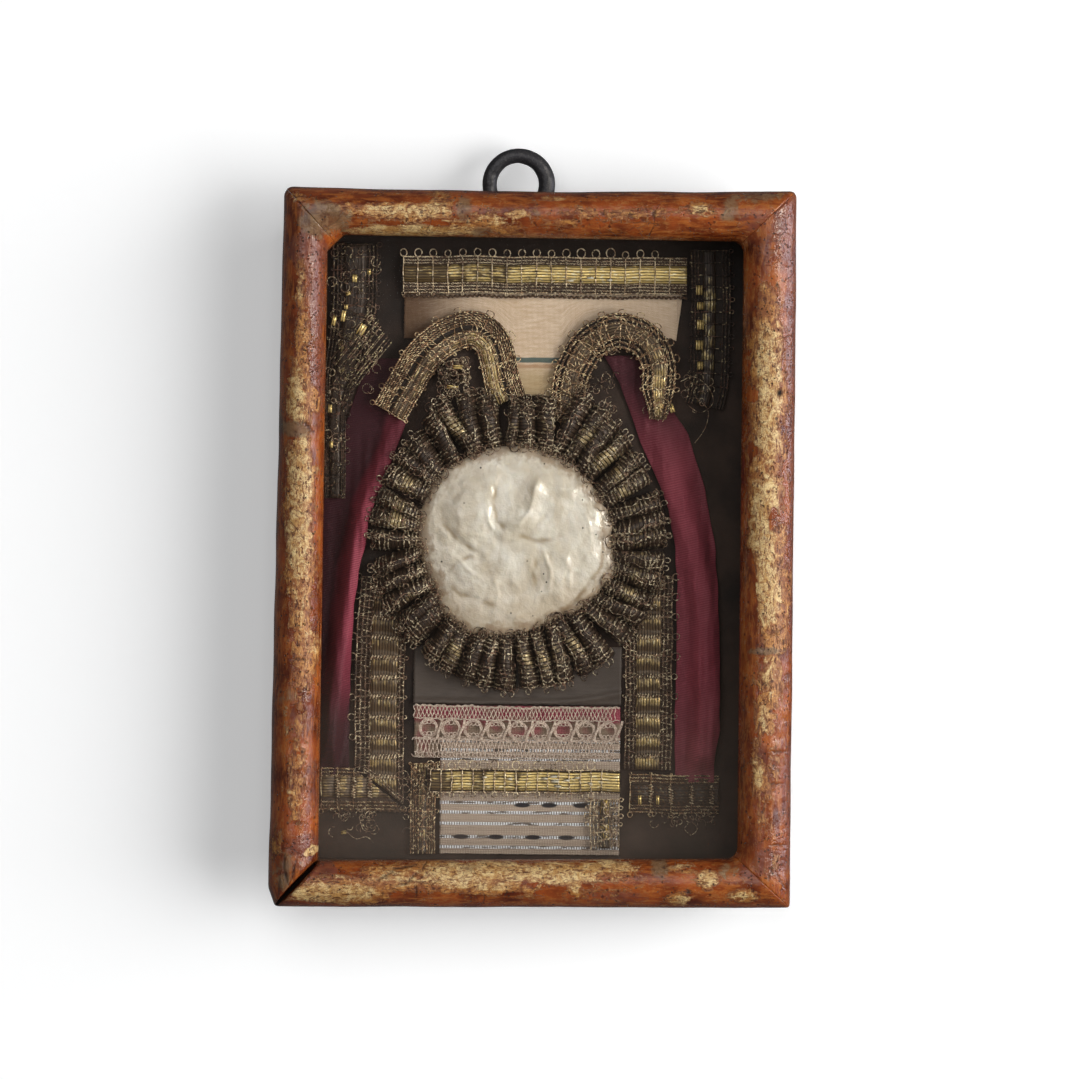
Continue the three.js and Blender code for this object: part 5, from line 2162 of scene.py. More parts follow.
    def _spot(self, along: float, across: float) -> Spot:
        """Returns the place, seen from the front, of a point on the dome or its side.

        Args:
            along: the share of the way round.
            across: the share of the way out.

        Returns:
            The place.
        """
        turn = -2 * math.pi * along
        reach = self.edge(turn) * self._top(across)
        return self.centre[0] + reach * math.cos(turn), self.centre[1] + reach * math.sin(turn)

    def _surface(self, along: float, across: float) -> Vector:
        """Returns a point on the dome or, past its rim, on its side.

        Args:
            along: the share of the way round.
            across: the share of the way out.

        Returns:
            The point.
        """
        spot, share = self._spot(along, across), self._top(across)
        down = (across * (self.ROWS + self.SKIRT) - self.ROWS) / self.SKIRT
        if down > 0:
            height = mix(self.rim, self.back, ease(0, 1, down)) - 0.25 * math.sin(down * 3.14)
            return at(*spot, height)
        dome = mix(self.rim, self.crown, math.sqrt(max(0.0, 1 - share**2)))
        return at(*spot, dome + self._relief(*spot) * min(1.0, 3.5 * (1 - share)))

    def build(self) -> None:
        """Makes the disc."""
        tones = {
            "hollow_shade": lambda along, across: self._hollow_shade(*self._spot(along, across)),
            "seam": lambda along, across: self._seam(*self._spot(along, across)),
            "edge": lambda along, across: ease(0.72, 1.0, self._top(across)),
        }
        size = (120.0, 20.0)
        form = cloth_grid(self.TURNS, self.ROWS + self.SKIRT, size, self._surface, tones)
        bmesh.ops.remove_doubles(form, verts=form.verts, dist=0.003)
        close_open_edges(form)
        Piece("moulded_wax", "wax", ["wax_disc"]).add(form, OldWax("old wax")).show()


@dataclass(frozen=True)
class Pleat:
    """One rolled pleat of the ruffle, with its direction, half width, height and lean."""

    turn: float
    half: float
    tall: float
    lean: float
    skew: float
    gold: float
    inner: float
    outer: float
    centre: Spot

    PROFILE = (
        (0.0, -0.06, 4.4), (0.06, -0.02, 6.4), (0.17, 0.1, 7.9), (0.45, 0.42, 8.7),
        (0.72, 0.76, 8.1), (0.9, 0.98, 6.6), (1.0, 1.0, 4.4),
    )
    MIDWAY = 24.5

    def point(self, side: float, row: float, lift: float = 0.0) -> Vector:
        """Returns a place on the pleat.

        Args:
            side: from -1 to 1 over the roll.
            row: the share of the way from the wax to the outer edge.
            lift: how far in front of the braid's face.

        Returns:
            The place.
        """
        out, tall = (follow([(step[0], step[i]) for step in self.PROFILE], row) for i in (1, 2))
        roll = 1 - min(1.0, abs(side)) ** 2.4
        body = ease(0.0, 0.16, row) * (1 - ease(0.86, 1.0, row))
        tall += body * (roll - 1) * self.tall + 0.4 * drift(row * 6, self.turn * 9, 1.6, 36)
        reach = mix(self.inner, self.outer + 0.5 * roll - 0.3, out)
        aside = side * self.half * (0.4 + 0.6 * reach / self.MIDWAY) * (0.86 + 0.14 * roll)
        aside += self.lean * (out - 0.35) + self.skew * roll * body
        aside += 0.3 * drift(row * 5, self.turn * 7, 1.8, 38)
        x = self.centre[0] + reach * math.cos(self.turn) - aside * math.sin(self.turn)
        z = self.centre[1] + reach * math.sin(self.turn) + aside * math.cos(self.turn)
        return at(x, z, tall + lift)

    def sheet(self) -> bmesh.types.BMesh:
        """Returns the pleat's gilt ground.

        Returns:
            The ground.
        """

        def bright(along: float, across: float) -> float:
            """Returns how bright a place is: its gold, with a painted highlight mid-roll and
            painted shade on its sides.
            """
            # Painted highlight along the middle of the roll, painted shade on its sides.
            roll = 1 - abs(2 * along - 1) ** 2
            return self.gold * bell(across - 0.5, 0.2) * (0.3 + 0.7 * roll) - 0.25 * (1 - roll)

        def where(along: float, across: float) -> Vector:
            """Returns a corner's place."""
            return self.point(2.0 * along - 1.0, across)

        return thicken(cloth_grid(12, 12, (5.2, 10.6), where, {"bright": bright}), 0.2)

    def strands(self, row: float) -> list[list[Vector]]:
        """Returns the two wires wound together that cross the pleat at a row.

        Args:
            row: how far out they cross, from 0 to 1.

        Returns:
            The points of both.
        """
        pair = []
        for turn in (0.0, math.pi):
            path = []
            for i in range(12):
                round_ = turn + i * 1.9 + self.turn * 40
                loose = 0.05 * drift(i, self.turn * 8, 4.0, row * 40)
                place = row + 0.011 * math.cos(round_) + loose
                path.append(self.point(mix(-1, 1, i / 11), place, 0.16 + 0.12 * math.sin(round_)))
            pair.append(path)
        return pair

    def spine(self, side: float) -> list[Vector]:
        """Returns a wire that follows the pleat outwards and ends in a picot.

        Args:
            side: where it runs across the pleat, from -1 to 1.

        Returns:
            Its points.
        """
        path = []
        for i in range(13):
            aside = side + 0.5 * drift(i, self.turn * 6, 2.6, 39)
            path.append(self.point(aside, mix(0.04, 0.9, i / 12), 0.3))
        foot, away = path[-1], spoke(self.turn)
        along = Vector((-away.z, -0.4, away.x))
        for i in range(1, 9):
            turn = 2 * math.pi * i / 9
            path.append(foot + away * (1 - math.cos(turn)) * 0.62 + along * math.sin(turn) * 0.5)
        return path


@dataclass
class Ruffle:
    """The gathered braid round the disc: rolled pleats side by side, crossed by fine wires."""

    disc: WaxDisc
    pleats: int = 42
    reach: float = 28.9
    rows: Sequence[float] = (0.08, 0.14, 0.2, 0.27, 0.36, 0.6, 0.68, 0.75, 0.82, 0.89)

    def _outer(self, turn: float) -> float:
        """Returns how far out the ruffle stands: less where it is tucked under the arches.

        Args:
            turn: the direction in radians.

        Returns:
            The radius in millimetres.
        """
        up = max(0.0, math.cos(turn - math.pi / 2))
        under = bell(turn - 1.12, 0.24) + bell(turn - 2.05, 0.26)
        x, z = math.cos(turn), math.sin(turn)
        return self.reach - 1.4 * up**14 + 2.8 * under + 0.9 * drift(x, z, 0.25, 34)

    def _gather(self, chance: random.Random) -> list[Pleat]:
        """Returns the pleats, no two quite alike.

        Args:
            chance: the source of its irregular sizes.

        Returns:
            The pleats, once round.
        """
        made = []
        for i in range(self.pleats):
            turn = 2 * math.pi * (i + chance.uniform(-0.22, 0.22)) / self.pleats
            made.append(Pleat(
                turn=turn, half=chance.uniform(1.95, 2.45), tall=chance.uniform(2.2, 3.6),
                lean=chance.uniform(-2.2, 2.2), skew=chance.uniform(-0.7, 0.7),
                gold=max(0.0, chance.gauss(0.3, 0.45)), inner=self.disc.edge(turn) + 0.1,
                outer=self._outer(turn), centre=self.disc.centre,
            ))
        return made

    def _curls(self, pleats: Sequence[Pleat], chance: random.Random) -> list[list[Vector]]:
        """Returns the loops of thread that curl over the wax and stand at the outer edge.

        Args:
            pleats: the pleats they grow from.
            chance: the source of their shapes.

        Returns:
            The points of each loop.
        """
        curls = []
        for pleat in pleats:
            for i in range(13):
                inner = i < 7
                row = (0.12, 0.86, chance.uniform(0.2, 0.8))[(i > 6) + (i > 8)]
                root = pleat.point(chance.uniform(-1, 1), row, 0.25)
                out = spoke(pleat.turn)
                side = Vector((-out.z, chance.uniform(-0.9, 0.5), out.x)).normalized()
                size = chance.uniform(0.45, 1.15) if inner else chance.uniform(0.35, 0.7)
                away = out * (-1.0 if inner else 1.0)
                away += Vector((0, chance.uniform(-0.7, 0.1), 0))
                first, sweep = chance.uniform(0, 6.28), chance.uniform(3.6, 7.0)
                path = []
                for step in range(10):
                    turn = first + sweep * step / 9
                    swing = away * math.cos(turn) - side * math.sin(turn)
                    path.append(root + away * size * 0.7 + swing * size)
                curls.append(path)
        return curls

    def build(self) -> None:
        """Makes the ruffle."""
        chance = random.Random(5)
        pleats = self._gather(chance)
        piece = Piece("gathered_ruffle", "metal_braid", ["ruffle"])
        ground = GiltStrip("ruffle gilding", "3a2c21", "b39c70", 0.62)
        for pleat in pleats:
            piece.add(pleat.sheet(), ground)
        rows = [path for pleat in pleats for row in self.rows for path in pleat.strands(row)]
        wire = GiltWire("ruffle wire", "3b2d23", "75604c", "ecdcb8", 0.5)
        piece.add(bundle(rows, 0.1), wire)
        spines = [pleat.spine(chance.uniform(-0.7, 0.7)) for pleat in pleats for _ in range(2)]
        piece.add(bundle(spines, 0.1), wire)
        curls = bundle(self._curls(pleats, chance), 0.085)
        piece.add(curls, GiltWire("curled wire", "4a392d", "836b56", "d8c09a", 0.3)).show()


@dataclass
class Lace:
    """The bobbin lace: ladders of thread above and below a row of ringed eyes."""

    left: float = -23.3
    right: float = 16.8
    depth: float = 4.35
    eyes: int = 9
    first_eye: float = -20.6
    eye_pitch: float = 4.4
    eye_height: float = -35.6
    upper: Spot = (-31.1, -33.7)
    lower: Spot = (-37.4, -41.2)
    lines: Sequence[float] = (-31.0, -31.2, -33.6, -37.6, -37.8, -40.3)
    thread: float = 0.085

    STEPS = 12
    LINE_STEPS = 110
    RING_STEPS = 16
    BARS_END = -37.6

    def _at(self, x: float, z: float, lift: float = 0.0) -> Vector:
        """Returns a place on the lace, which lies in slight waves.

        Args:
            x: the place from left to right.
            z: the place upwards.
            lift: how far it stands off the ribbon.

        Returns:
            The place.
        """
        wave = 0.16 * drift(x, z, 5.0, 50)
        loose = 0.22 * drift(x, z, 1.6, 55)
        return at(x + loose, z + 0.4 * drift(x, 0, 7.0, 51) + loose, self.depth + wave + lift)

    def _ladder(self, ends: Spot, phase: float, pitch: float = 1.5) -> list[Vector]:
        """Returns one thread that goes up and down in narrow loops.

        Args:
            ends: where its upper and its lower loops end.
            phase: the share of a pitch by which it is shifted.
            pitch: from one upward run to the next.

        Returns:
            Its points.
        """
        path = []
        for i in range(int((self.right - self.left) / pitch) * self.STEPS + 1):
            turn = i / self.STEPS + phase
            swing = math.sin(2 * math.pi * turn)
            tall = math.copysign(abs(swing) ** 0.7, swing)
            x = self.left + (i / self.STEPS) * pitch - 0.34 * pitch * math.sin(4 * math.pi * turn)
            x += 0.12 * drift(x, phase, 1.2, 52)
            z = mix(ends[1], ends[0], 0.5 + 0.5 * tall)
            path.append(self._at(x, z, 0.1 * math.cos(4 * math.pi * turn)))
        return path

    def _line(self, z: float, wave: float) -> list[Vector]:
        """Returns one thread along the lace.

        Args:
            z: how high it runs.
            wave: how far it waves up and down.

        Returns:
            Its points.
        """
        path = []
        for i in range(self.LINE_STEPS + 1):
            height = z + wave * math.sin(i * 1.7) + 0.08 * drift(i, z, 3.0, 53)
            path.append(self._at(mix(self.left, self.right, i / self.LINE_STEPS), height, 0.12))
        return path

    def _ring(self, x: float, z: float, radius: float, start: float, sweep: float) -> list[Vector]:
        """Returns a thread bent round a place.

        Args:
            x: the place from left to right.
            z: the place upwards.
            radius: in millimetres.
            start: where it begins, in radians.
            sweep: how far it goes round.

        Returns:
            Its points.
        """
        turns = [start + sweep * k / self.RING_STEPS for k in range(self.RING_STEPS + 1)]
        round_ = [(radius * math.cos(turn), radius * 1.05 * math.sin(turn)) for turn in turns]
        return [self._at(x + dx, z + dz, 0.14) for dx, dz in round_]

    def _bars(self, x: float) -> list[list[Vector]]:
        """Returns the threads that cross between two eyes, from the upper ladder to the lower.

        Args:
            x: the middle between the eyes.

        Returns:
            The points of each thread.
        """
        bars = []
        for shift in (-0.16, 0.0, 0.16):
            bars.append([])
            for k in range(9):
                side = x + shift - 0.55 * math.sin(math.pi * (k / 8 - 0.5))
                height = mix(self.upper[1], self.BARS_END, k / 8)
                bars[-1].append(self._at(side, height, 0.16 + 0.06 * k % 2))
        return bars

    def build(self) -> None:
        """Makes the lace."""
        threads = [self._ladder(self.upper, phase) for phase in (0.0, 0.5)]
        threads += [self._ladder(self.lower, phase) for phase in (0.1, 0.6)]
        threads += [self._line(z, 0.12) for z in self.lines]
        for i in range(self.eyes):
            x = self.first_eye + i * self.eye_pitch
            z = self.eye_height + 0.25 * drift(x, 1, 3.0, 54)
            threads += [self._ring(x, z, r, 0.3 * i, 2.15 * math.pi) for r in (1.42, 1.62, 1.82)]
            for side, start in ((1.0, math.pi), (-1.0, 0.0)):
                for shift in (-0.75, 0.0, 0.75):
                    threads.append(self._ring(x + shift, z + side * 1.25, 0.45, start, math.pi))
            threads += self._bars(x + self.eye_pitch / 2)
        yarn = PlainThread("lace thread", "a88c78", "e6d4bf", 0.75, 0.2)
        lace = bundle(threads, self.thread)
        Piece("bobbin_lace", "thread_lace", ["lace_strip"]).add(lace, yarn).show()


@dataclass
class Cloth:
    """A cloth that lies on the card: its outline, its waves, its weave and its cut size."""

    name: str
    node: str
    slot: str
    sides: Spot
    top: Steps
    bottom: Steps
    front: float
    weave: Finish
    flat: Spot
    thick: float = 0.3
    wave: float = 0.12
    ribs: float = 0.0
    hem: Steps = ()
    stain: Steps = ()
    area: float = 0.0
    cells: tuple[int, int] = (90, 40)

    def _spot(self, along: float, across: float) -> Spot:
        """Returns a point's place seen from the front."""
        x = mix(*self.sides, along)
        return x, mix(follow(self.bottom, x), follow(self.top, x), across)

    def _surface(self, along: float, across: float) -> Vector:
        """Returns a point of the cloth's face.

        Args:
            along: the share of its width.
            across: the share of its height.

        Returns:
            The point.
        """
        x, z = self._spot(along, across)
        height = self.front + self.wave * drift(x, z, 6.0, 60)
        if self.hem:
            height += 0.55 * bell(z - follow(self.hem, x), 0.75)
        if self.ribs:
            height += 0.07 * math.cos(2 * math.pi * z / self.ribs)
        ravel = 0.12 * drift(x * 4, z * 4, 1.0, 61)
        return at(x + ravel * (across < 1e-6 or along in (0.0, 1.0)), z + ravel, height)

    def _dim(self, along: float, across: float) -> float:
        """Returns how strongly a place is stained."""
        x, z = self._spot(along, across)
        return max(0.0, min(1.0, follow(self.stain, z) + 1.1 * drift(x, z, 2.2, 62)))

    def build(self) -> None:
        left, right = self.sides
        middle = (left + right) / 2
        size = (right - left, follow(self.top, middle) - follow(self.bottom, middle))
        tones = {"dim": self._dim} if self.stain else None
        form = thicken(cloth_grid(*self.cells, size, self._surface, tones), self.thick)
        shown = Piece(self.name, self.slot, [self.node]).add(form, self.weave).show()


@dataclass(frozen=True)
class Brocade(Finish):
    """Grey-pink ribbed ribbon with silver threads laid across it and black floats; the threads have
    painted shadow and glints.
    """

    silver: Sequence[float] = (-37.8, -39.6, -41.3, -49.9, -51.8, -54.0, -56.6, -58.6)

    def make(self, kit: Kit) -> bpy.types.Material:
        """Builds the ribbon on the object's own heights, so that threads lie where they are.

        Args:
            kit: the material's nodes.

        Returns:
            The material.
        """
        place = kit.spot()
        x, z = kit.axis(place, "X"), kit.axis(place, "Z")
        ribs = kit.ribs(kit.weave_map(), 0.42, "Y")
        slubs = kit.cloud(kit.spot((6, 1, 1)), 0.35, 3.0)
        dots = kit.ribs(kit.weave_map(), 0.5, "X") * ribs
        colour = kit.blend(ribs * 0.6 + slubs * 0.4, "988370", "d2c0a9")
        colour = kit.blend(dots * 0.7, colour, "7d6152")
        line, dashes = 0.0, kit.cloud(kit.spot((5, 1, 1)), 0.5, 2.0).rise(0.4, 0.5)
        for height in self.silver:
            near = 1.0 - (z - height).through("ABSOLUTE").rise(0.24, 0.36)
            line = near.most(line)
        twist = kit.ribs(kit.weave_map(), 0.5, "X").rise(0.1, 0.5)
        # Each silver thread is laid dark grey as a painted shadow under it; its twist's turns are
        # then painted white, the silver's colour with painted glints.
        colour = kit.blend(line * 0.8, colour, "3c3836")
        line = line * dashes * twist
        colour = kit.blend(line, colour, "ffffff")
        for height, starts in ((-50.3, (-2.1, 3.2, 9.4)), (-56.6, (-14.0, -7.2, 0.1, 6.6))):
            for middle in starts:
                across, along = (z - height) / 0.5, (x - middle) / 1.75
                shape = 1.0 - (across * across + along * along + slubs * 0.4).rise(0.7, 1.3)
                colour = kit.blend(shape, colour, "15131a")
        height = ribs * 0.06 + line * 0.08 + (slubs - 0.5) * 0.05
        return kit.finish({
            "Base Color": colour, "Metallic": line * 0.25, "Roughness": 0.75 - line * 0.45,
            "Sheen Weight": 0.2, "Normal": kit.bump(height),
        })


def cloths() -> list[Cloth]:
    """Returns the cloths that lie flat under the braids and the lace.

    Returns:
        The cloths, from the top down.
    """
    cream_foot = (
        (-26.6, 41.0), (-21.0, 41.0), (-15.0, 43.4), (-9.0, 40.0), (-6.8, 35.0), (-4.6, 30.0),
        (4.6, 30.0), (6.0, 35.0), (9.0, 40.0), (15.0, 43.6), (21.0, 43.0), (27.2, 41.0),
        (28.2, 49.0),
    )
    return [
        Cloth(
            "cream_linen", "cream_cloth", "cream_cloth", (-26.2, 28.2), ((0, 52.6),), cream_foot,
            3.55, WovenCloth("cream linen", "c2a17c", "ffeed6", 0.24, 0.04, stripe="225051"),
            (55.0, 24.0), area=800.0, wave=0.2, cells=(160, 50),
        ),
        Cloth(
            "grey_silk", "grey_cloth", "grey_cloth", (-23.6, 17.1), ((0, -19.2),), ((0, -30.5),),
            3.5, WovenCloth("grey silk", "463d36", "5f554c", 0.2, 0.01, 0.2, 0.42), (41.0, 12.0),
            hem=((-23.6, -30.2), (4.0, -30.2), (10.9, -29.4), (17.1, -28.2)), wave=0.3,
        ),
        Cloth(
            "pink_silk", "pink_ribbon", "pink_cloth", (-23.4, 17.0), ((0, -30.9),),
            ((0, -41.2),), 3.3,
            WovenCloth("pink silk", "84303e", "c46a74", 0.34, 0.05, 0.15, 0.6, dim="8d7a66"),
            (41.0, 10.4), ribs=0.8, stain=((-41.0, 0.9), (-34.6, 0.75), (-33.6, 0.1), (-31, 0.0)),
        ),
        Cloth(
            "brocade_silk", "brocade_ribbon", "silver_brocade", (-18.2, 17.0), ((0, -36.9),),
            ((0, -59.9),), 3.85, Brocade("silver brocade"), (35.2, 23.0), wave=0.1, ribs=1.4,
            cells=(80, 90),
        ),
    ]


@dataclass
class Drape:
    """A length of silk hung as a curtain, gathered into one rolled fold."""

    name: str
    node: str
    top: float
    bottom: float
    left: Steps
    right: Steps
    fold: Steps
    half: float
    rise: float
    flat: Spot
    off_fold_shade: float
    shadow: Steps
    silk: WovenCloth
    thin: float = 3.38

    CELLS = (170, 60)
    THICK = 0.3

    def _spot(self, down: float, across: float) -> Spot:
        """Returns a point's place seen from the front."""
        z = mix(self.top, self.bottom, down)
        return mix(follow(self.left, z), follow(self.right, z), across), z

    def _dim(self, down: float, across: float) -> float:
        """Returns how much painted shade a place gets: by its distance from the rolled fold and by
        the listed shadow at its height, whichever is more.

        Args:
            down: the share of its length.
            across: the share of its width.

        Returns:
            The share of painted shade.
        """
        x, z = self._spot(down, across)
        # Painted shade away from the rolled fold, and painted shadow from the listed steps by
        # height.
        away = abs(x - follow(self.fold, z)) / self.half + 0.5 * drift(x, z, 6.0, 83)
        return max(self.off_fold_shade * ease(0.5, 1.8, away), follow(self.shadow, z))

    def _surface(self, down: float, across: float) -> Vector:
        """Returns a point of the silk's face.

        Args:
            down: the share of its length.
            across: the share of its width.

        Returns:
            The point.
        """
        x, z = self._spot(down, across)
        x += 0.25 * drift(z, across, 5.0, 80)
        swing = (x - follow(self.fold, z)) / self.half
        loose = min(1.0, 0.2 + 3 * max(0.0, down - 0.12)) * (1 - 0.92 * ease(0.93, 0.985, down))
        roll = self.rise * math.exp(-(abs(swing) ** 3)) * loose
        near = bell(swing, 2.6)
        ripple = 0.28 * math.sin(across * 11 + down * 3) * (1 - bell(swing, 1.3)) * near
        ripple += 0.35 * drift(x * 2.6, z * 0.35, 3.0, 81) * near + 0.06 * drift(x, z, 0.9, 82)
        return at(x, z, self.thin + 0.2 * near + roll + ripple)

    def build(self) -> None:
        size = (self.top - self.bottom, self.flat[0])
        form = cloth_grid(*self.CELLS, size, self._surface, {"dim": self._dim})
        piece = Piece(self.name, "crimson_silk", [self.node])
        shown = piece.add(thicken(form, self.THICK), self.silk).show()


def twilled_silk(name: str, shade: str, light: str, dim: str) -> WovenCloth:
    """Returns the silk of the drapes in the given shades; the dim colour is their painted shade."""
    weave = (0.34, 0.04, 0.06, 0.55, True)
    return WovenCloth(name, shade, light, *weave, tint="d06080", dim=dim, slant=0.12)


def drapes() -> list[Drape]:
    """Returns the two silk curtains beside the ruffle.

    Returns:
        The left one and the right one.
    """
    return [
        Drape(
            "silk_drape_left", "drape_left", top=37.0, bottom=-45.0,
            left=((-45.0, -41.8), (14.0, -41.7), (22.0, -38.2), (32.0, -35.0), (37.0, -31.6)),
            right=(
                (-45.0, -36.2), (-20.0, -35.9), (-12.0, -35.4), (-5.0, -34.6), (0.0, -33.4),
                (5.0, -32.8), (10.0, -31.2), (15.0, -28.8), (20.0, -27.2), (27.5, -24.6),
                (33.0, -22.0), (37.0, -22.6),
            ),
            fold=(
                (-41.5, -40.0), (-32.0, -39.2), (-22.0, -38.0), (-10.0, -36.2), (0.0, -34.9),
                (8.0, -33.2), (18.0, -29.4), (30.0, -24.6), (37.0, -23.0),
            ),
            half=2.1, rise=3.2, flat=(12.0, 83.0), off_fold_shade=0.95,
            shadow=(
                (-45.0, 1.0), (-35.0, 0.95), (-26.0, 0.5), (-16.0, 0.0), (6.0, 0.0),
                (13.0, 0.15), (20.0, 0.4), (27.0, 0.6), (37.0, 0.8),
            ),
            silk=twilled_silk("crimson silk", "66222f", "a34a58", "2c1017"),
        ),
        Drape(
            "silk_drape_right", "drape_right", top=38.0, bottom=-45.5,
            left=(
                (-42.0, 27.8), (-5.0, 27.8), (0.0, 27.4), (3.0, 26.9), (8.0, 25.9),
                (12.0, 24.4), (17.0, 22.3), (21.0, 20.4), (26.0, 18.6), (33.0, 15.9),
                (38.0, 13.0),
            ),
            right=(
                (-42.0, 35.4), (-35.0, 36.6), (-25.0, 36.5), (-10.0, 36.0), (0.0, 35.3),
                (12.0, 33.0), (18.0, 31.2), (23.0, 29.6), (27.5, 26.4), (30.0, 23.5),
                (38.0, 19.4),
            ),
            fold=(
                (-42.0, 33.4), (-30.0, 34.4), (-22.0, 33.2), (-14.0, 33.6), (0.0, 31.2),
                (10.0, 27.8), (18.0, 26.0), (38.0, 16.0),
            ),
            half=2.8, rise=2.6, flat=(10.5, 84.5), off_fold_shade=0.3,
            shadow=(
                (-45.0, 0.3), (-40.0, 0.0), (12.0, 0.0), (20.0, 0.3), (26.0, 0.6), (33.0, 0.85),
                (38.0, 0.85),
            ),
            silk=twilled_silk("lit crimson silk", "722a36", "b55964", "2b151b"),
        ),
    ]


# Near-white gilt for painted highlights on the gold band and the top braid.
HIGHLIGHT_GILT = GiltStrip("highlight gilt", "b59a5c", "fff6da")


@dataclass
class Glints:
    """Scraps of bright gilt strip among the tarnished braids: bits of gilt, and painted glints and
    highlights.
    """

    ribbon: Spot = (5.95, 5.1)
    spots: Sequence[tuple[float, float, float, float, float]] = (
        (-34.5, 42.5, 2.4, 1.3, 60), (-36.0, 52.6, 1.5, 1.0, 90), (-33.1, 53.9, 1.1, 0.6, 90),
        (-37.2, 49.6, 1.0, 0.6, 20), (-37.6, 47.0, 0.9, 0.7, 90), (-38.1, 45.2, 2.2, 0.8, 80),
        (-39.9, 44.3, 2.0, 0.7, 75), (-40.5, 27.0, 1.6, 0.7, 90), (-40.2, 20.0, 1.3, 0.6, 90),
        (31.6, 51.0, 1.9, 1.2, 90), (31.8, 47.9, 1.5, 1.2, 90), (31.9, 44.2, 1.9, 1.3, 90),
        (31.7, 40.2, 1.9, 1.3, 90), (31.9, 36.2, 1.6, 1.1, 90), (-37.0, -56.0, 1.1, 0.6, 10),
        (21.0, -49.0, 1.8, 0.6, 90), (24.5, -49.0, 1.8, 0.6, 90), (-15.6, 35.4, 1.9, 0.7, 0),
        (-16.6, 31.4, 2.2, 0.7, -8), (23.9, 32.6, 2.2, 1.2, 100), (26.4, 27.8, 1.8, 0.9, 110),
    )
    # Listed next: painted highlights, near-white scraps on the gold band and the top braid.
    rubbed: Sequence[tuple[float, float, float, float, float]] = (
        (2.3, -45.0, 1.3, 0.45, 0), (4.0, -44.6, 1.5, 0.5, 2), (4.3, -45.5, 1.7, 0.6, 0),
        (4.9, -46.5, 1.4, 0.5, -2), (6.6, -45.3, 1.2, 0.45, 0), (8.6, -44.8, 1.1, 0.4, 0),
        (-4.6, -45.2, 1.1, 0.35, 0), (-9.5, -44.9, 1.0, 0.35, 0), (11.2, -45.9, 0.9, 0.4, 0),
        (6.3, 52.6, 1.3, 0.4, 0), (10.2, 53.2, 1.4, 0.4, 0), (14.0, 52.8, 1.1, 0.4, 0),
    )

    @staticmethod
    def _scrap(row: Sequence[float], depth: float) -> bmesh.types.BMesh:
        """Returns one scrap, slightly crowned and a little tilted.

        Args:
            row: its middle, length, width and turn, as they are listed.
            depth: how high it lies.

        Returns:
            The scrap.
        """
        x, z, long, wide, turn = row
        way = Vector((math.cos(math.radians(turn)), math.sin(math.radians(turn))))

        def where(along: float, across: float) -> Vector:
            """Returns a corner's place.

            Args:
                along: the share of its length.
                across: the share of its width.

            Returns:
                The place.
            """
            a, b = (along - 0.5) * long, (across - 0.5) * wide
            crown = 0.35 * (1 - (2 * along - 1) ** 2) + 0.25 * b
            return at(x + a * way.x - b * way.y, z + a * way.y + b * way.x, depth + crown)

        tones = {"bright": lambda along, across: 0.95}
        return thicken(cloth_grid(6, 3, (long, wide), where, tones), 0.12)

    def build(self) -> None:
        """Makes the scraps."""
        piece = Piece("gilt_scraps", "bright_braid")
        for i, row in enumerate(self.spots):
            depth = 5.6 + 0.5 * drift(i, 3.0, 0.7, 91) + (2.0 if abs(row[0]) < 20 else 0.0)
            piece.add(self._scrap(row, depth), TOP_GILT)
        # Painted highlights: the near-white scraps.
        for row in self.rubbed:
            piece.add(self._scrap(row, self.ribbon[row[1] > 0]), HIGHLIGHT_GILT)
        piece.show()


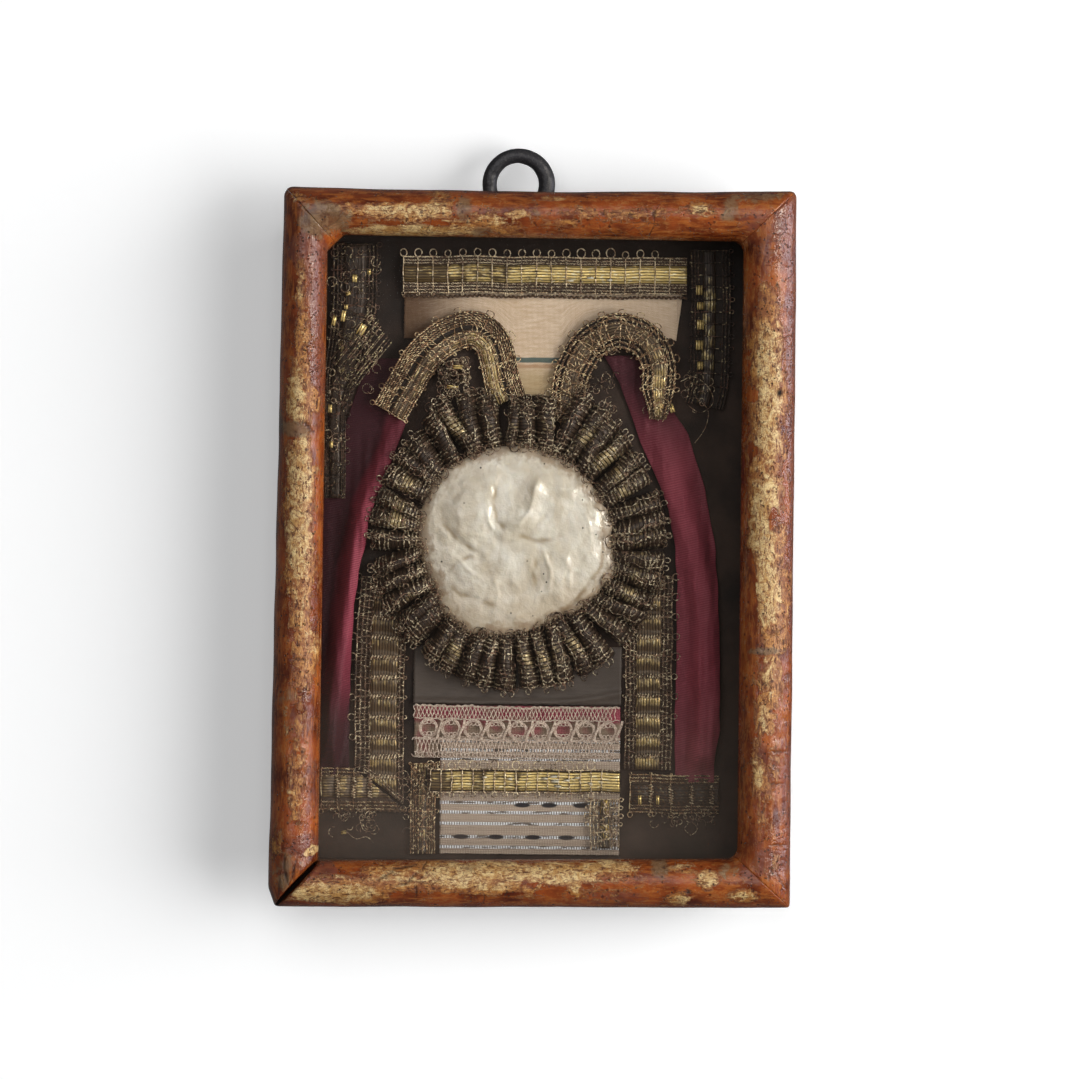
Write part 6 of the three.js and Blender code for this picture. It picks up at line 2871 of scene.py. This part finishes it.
@dataclass
class LooseWires:
    """Threads and wires that have sprung out of the braids."""

    threads: Sequence[tuple[float, Sequence[Spot]]] = (
        (6.4, ((28.0, 33.0), (30.5, 34.0), (33.5, 32.0), (34.5, 29.0), (32.0, 27.0), (29.5, 28.5))),
        (6.6, ((31.0, 30.0), (33.5, 27.5), (33.0, 24.0), (31.0, 21.0))),
        (6.0, ((29.7, -54.5), (31.0, -53.2), (32.3, -54.5), (31.0, -55.8), (29.8, -54.7))),
        (5.8, ((-34.0, -53.0), (-33.0, -55.5), (-31.0, -55.5), (-31.0, -53.6), (-32.6, -53.6))),
        (5.8, ((-36.5, -55.8), (-34.5, -57.2), (-32.5, -56.8), (-31.0, -58.0))),
        (6.2, ((-33.0, -43.0), (-30.0, -45.2), (-27.6, -47.4), (-25.5, -49.0))),
        (6.3, ((-33.3, -43.4), (-30.3, -45.6), (-27.9, -47.8), (-25.8, -49.4))),
    )
    frayed: Sequence[tuple[float, float, float, float, int]] = (
        (-36.0, 50.0, 4.5, 8.5, 26), (-35.0, 36.0, 4.5, 6.0, 18), (-35.5, -53.5, 4.5, 2.6, 26),
        (29.5, -52.6, 6.0, 1.4, 22), (31.5, 30.0, 2.6, 4.0, 14), (-24.4, -50.0, 1.2, 6.0, 12),
        (0.0, 27.6, 8.0, 1.3, 22), (-40.0, 24.0, 1.0, 12.0, 12), (10.5, 31.0, 5.0, 3.6, 46),
        (-16.0, 27.0, 5.0, 4.0, 46), (15.5, 41.0, 5.5, 3.0, 34), (23.8, 32.0, 2.8, 6.0, 26),
        (-16.4, 33.0, 3.0, 4.0, 44),
    )
    slanting: int = 11
    seed: int = 8

    def _slants(self) -> list[list[Vector]]:
        """Returns the wires that cross the upper left braid on a slant.

        Returns:
            The points of each wire.
        """
        chance = random.Random(self.seed)
        made = []
        for i in range(self.slanting):
            shift = mix(-2.6, 3.4, i / (self.slanting - 1)) + chance.uniform(-0.2, 0.2)
            start = Vector((-31.0 + 0.7 * shift, 43.5 - shift))
            end = Vector((-38.6 + 0.7 * shift, 34.0 - shift))
            made.append([])
            for step in range(15):
                depth = 5.2 + 0.9 * math.sin(math.pi * step / 14) + 0.25 * drift(step, i, 2.0, 92)
                made[-1].append(at(*start.lerp(end, step / 14), depth))
        return made

    def _tangles(self) -> list[list[Vector]]:
        """Returns small curls scattered where the braids have frayed.

        Returns:
            The points of each curl.
        """
        chance = random.Random(self.seed)
        made = []
        for x, z, wide, tall, count in self.frayed:
            for _ in range(count):
                middle = at(
                    x + wide * chance.uniform(-1, 1), z + tall * chance.uniform(-1, 1),
                    chance.uniform(4.6, 6.2) + (2.2 if z in (27.6, 33.0) else 0.0),
                )
                first, sweep = chance.uniform(0, 6.28), chance.uniform(2.0, 6.0)
                size, lean = chance.uniform(0.4, 1.0), chance.uniform(-0.6, 0.6)
                made.append([])
                for k in range(9):
                    way = spoke(first + sweep * k / 8)
                    way.y = lean * math.sin(sweep * k / 8)
                    made[-1].append(middle + way * size)
        return made

    def build(self) -> None:
        """Makes the wires."""
        long = []
        for depth, points in self.threads:
            line = Route(points)
            count = round(line.length / 0.35)
            long.append([
                at(*line.at(line.length * i / count)[0], depth + 0.5 * drift(i, depth, 5.0, 93))
                for i in range(count + 1)
            ])
        slanting = GiltWire("slanting wire", "2b2119", "6a5744", "eedcaa", 0.4)
        piece = Piece("loose_wires", "metal_braid")
        piece.add(bundle([*long, *self._tangles()], 0.085), MID_WIRE)
        piece.add(bundle(self._slants(), 0.1), slanting).show()


def main() -> None:
    """Builds the reliquary from the frame inwards."""
    logging.basicConfig(level=logging.INFO, format="%(name)s: %(message)s")
    Studio().build()
    Frame().build()
    WoodenBox().build()
    Hanger().build()
    for cloth in (*cloths(), *drapes()):
        cloth.build()
    disc = WaxDisc()
    disc.build()
    Ruffle(disc).build()
    Lace().build()
    for braid in (*straight_braids(), *arches()):
        braid.build()
    Glints().build()
    LooseWires().build()


if __name__ == "__main__":
    main()
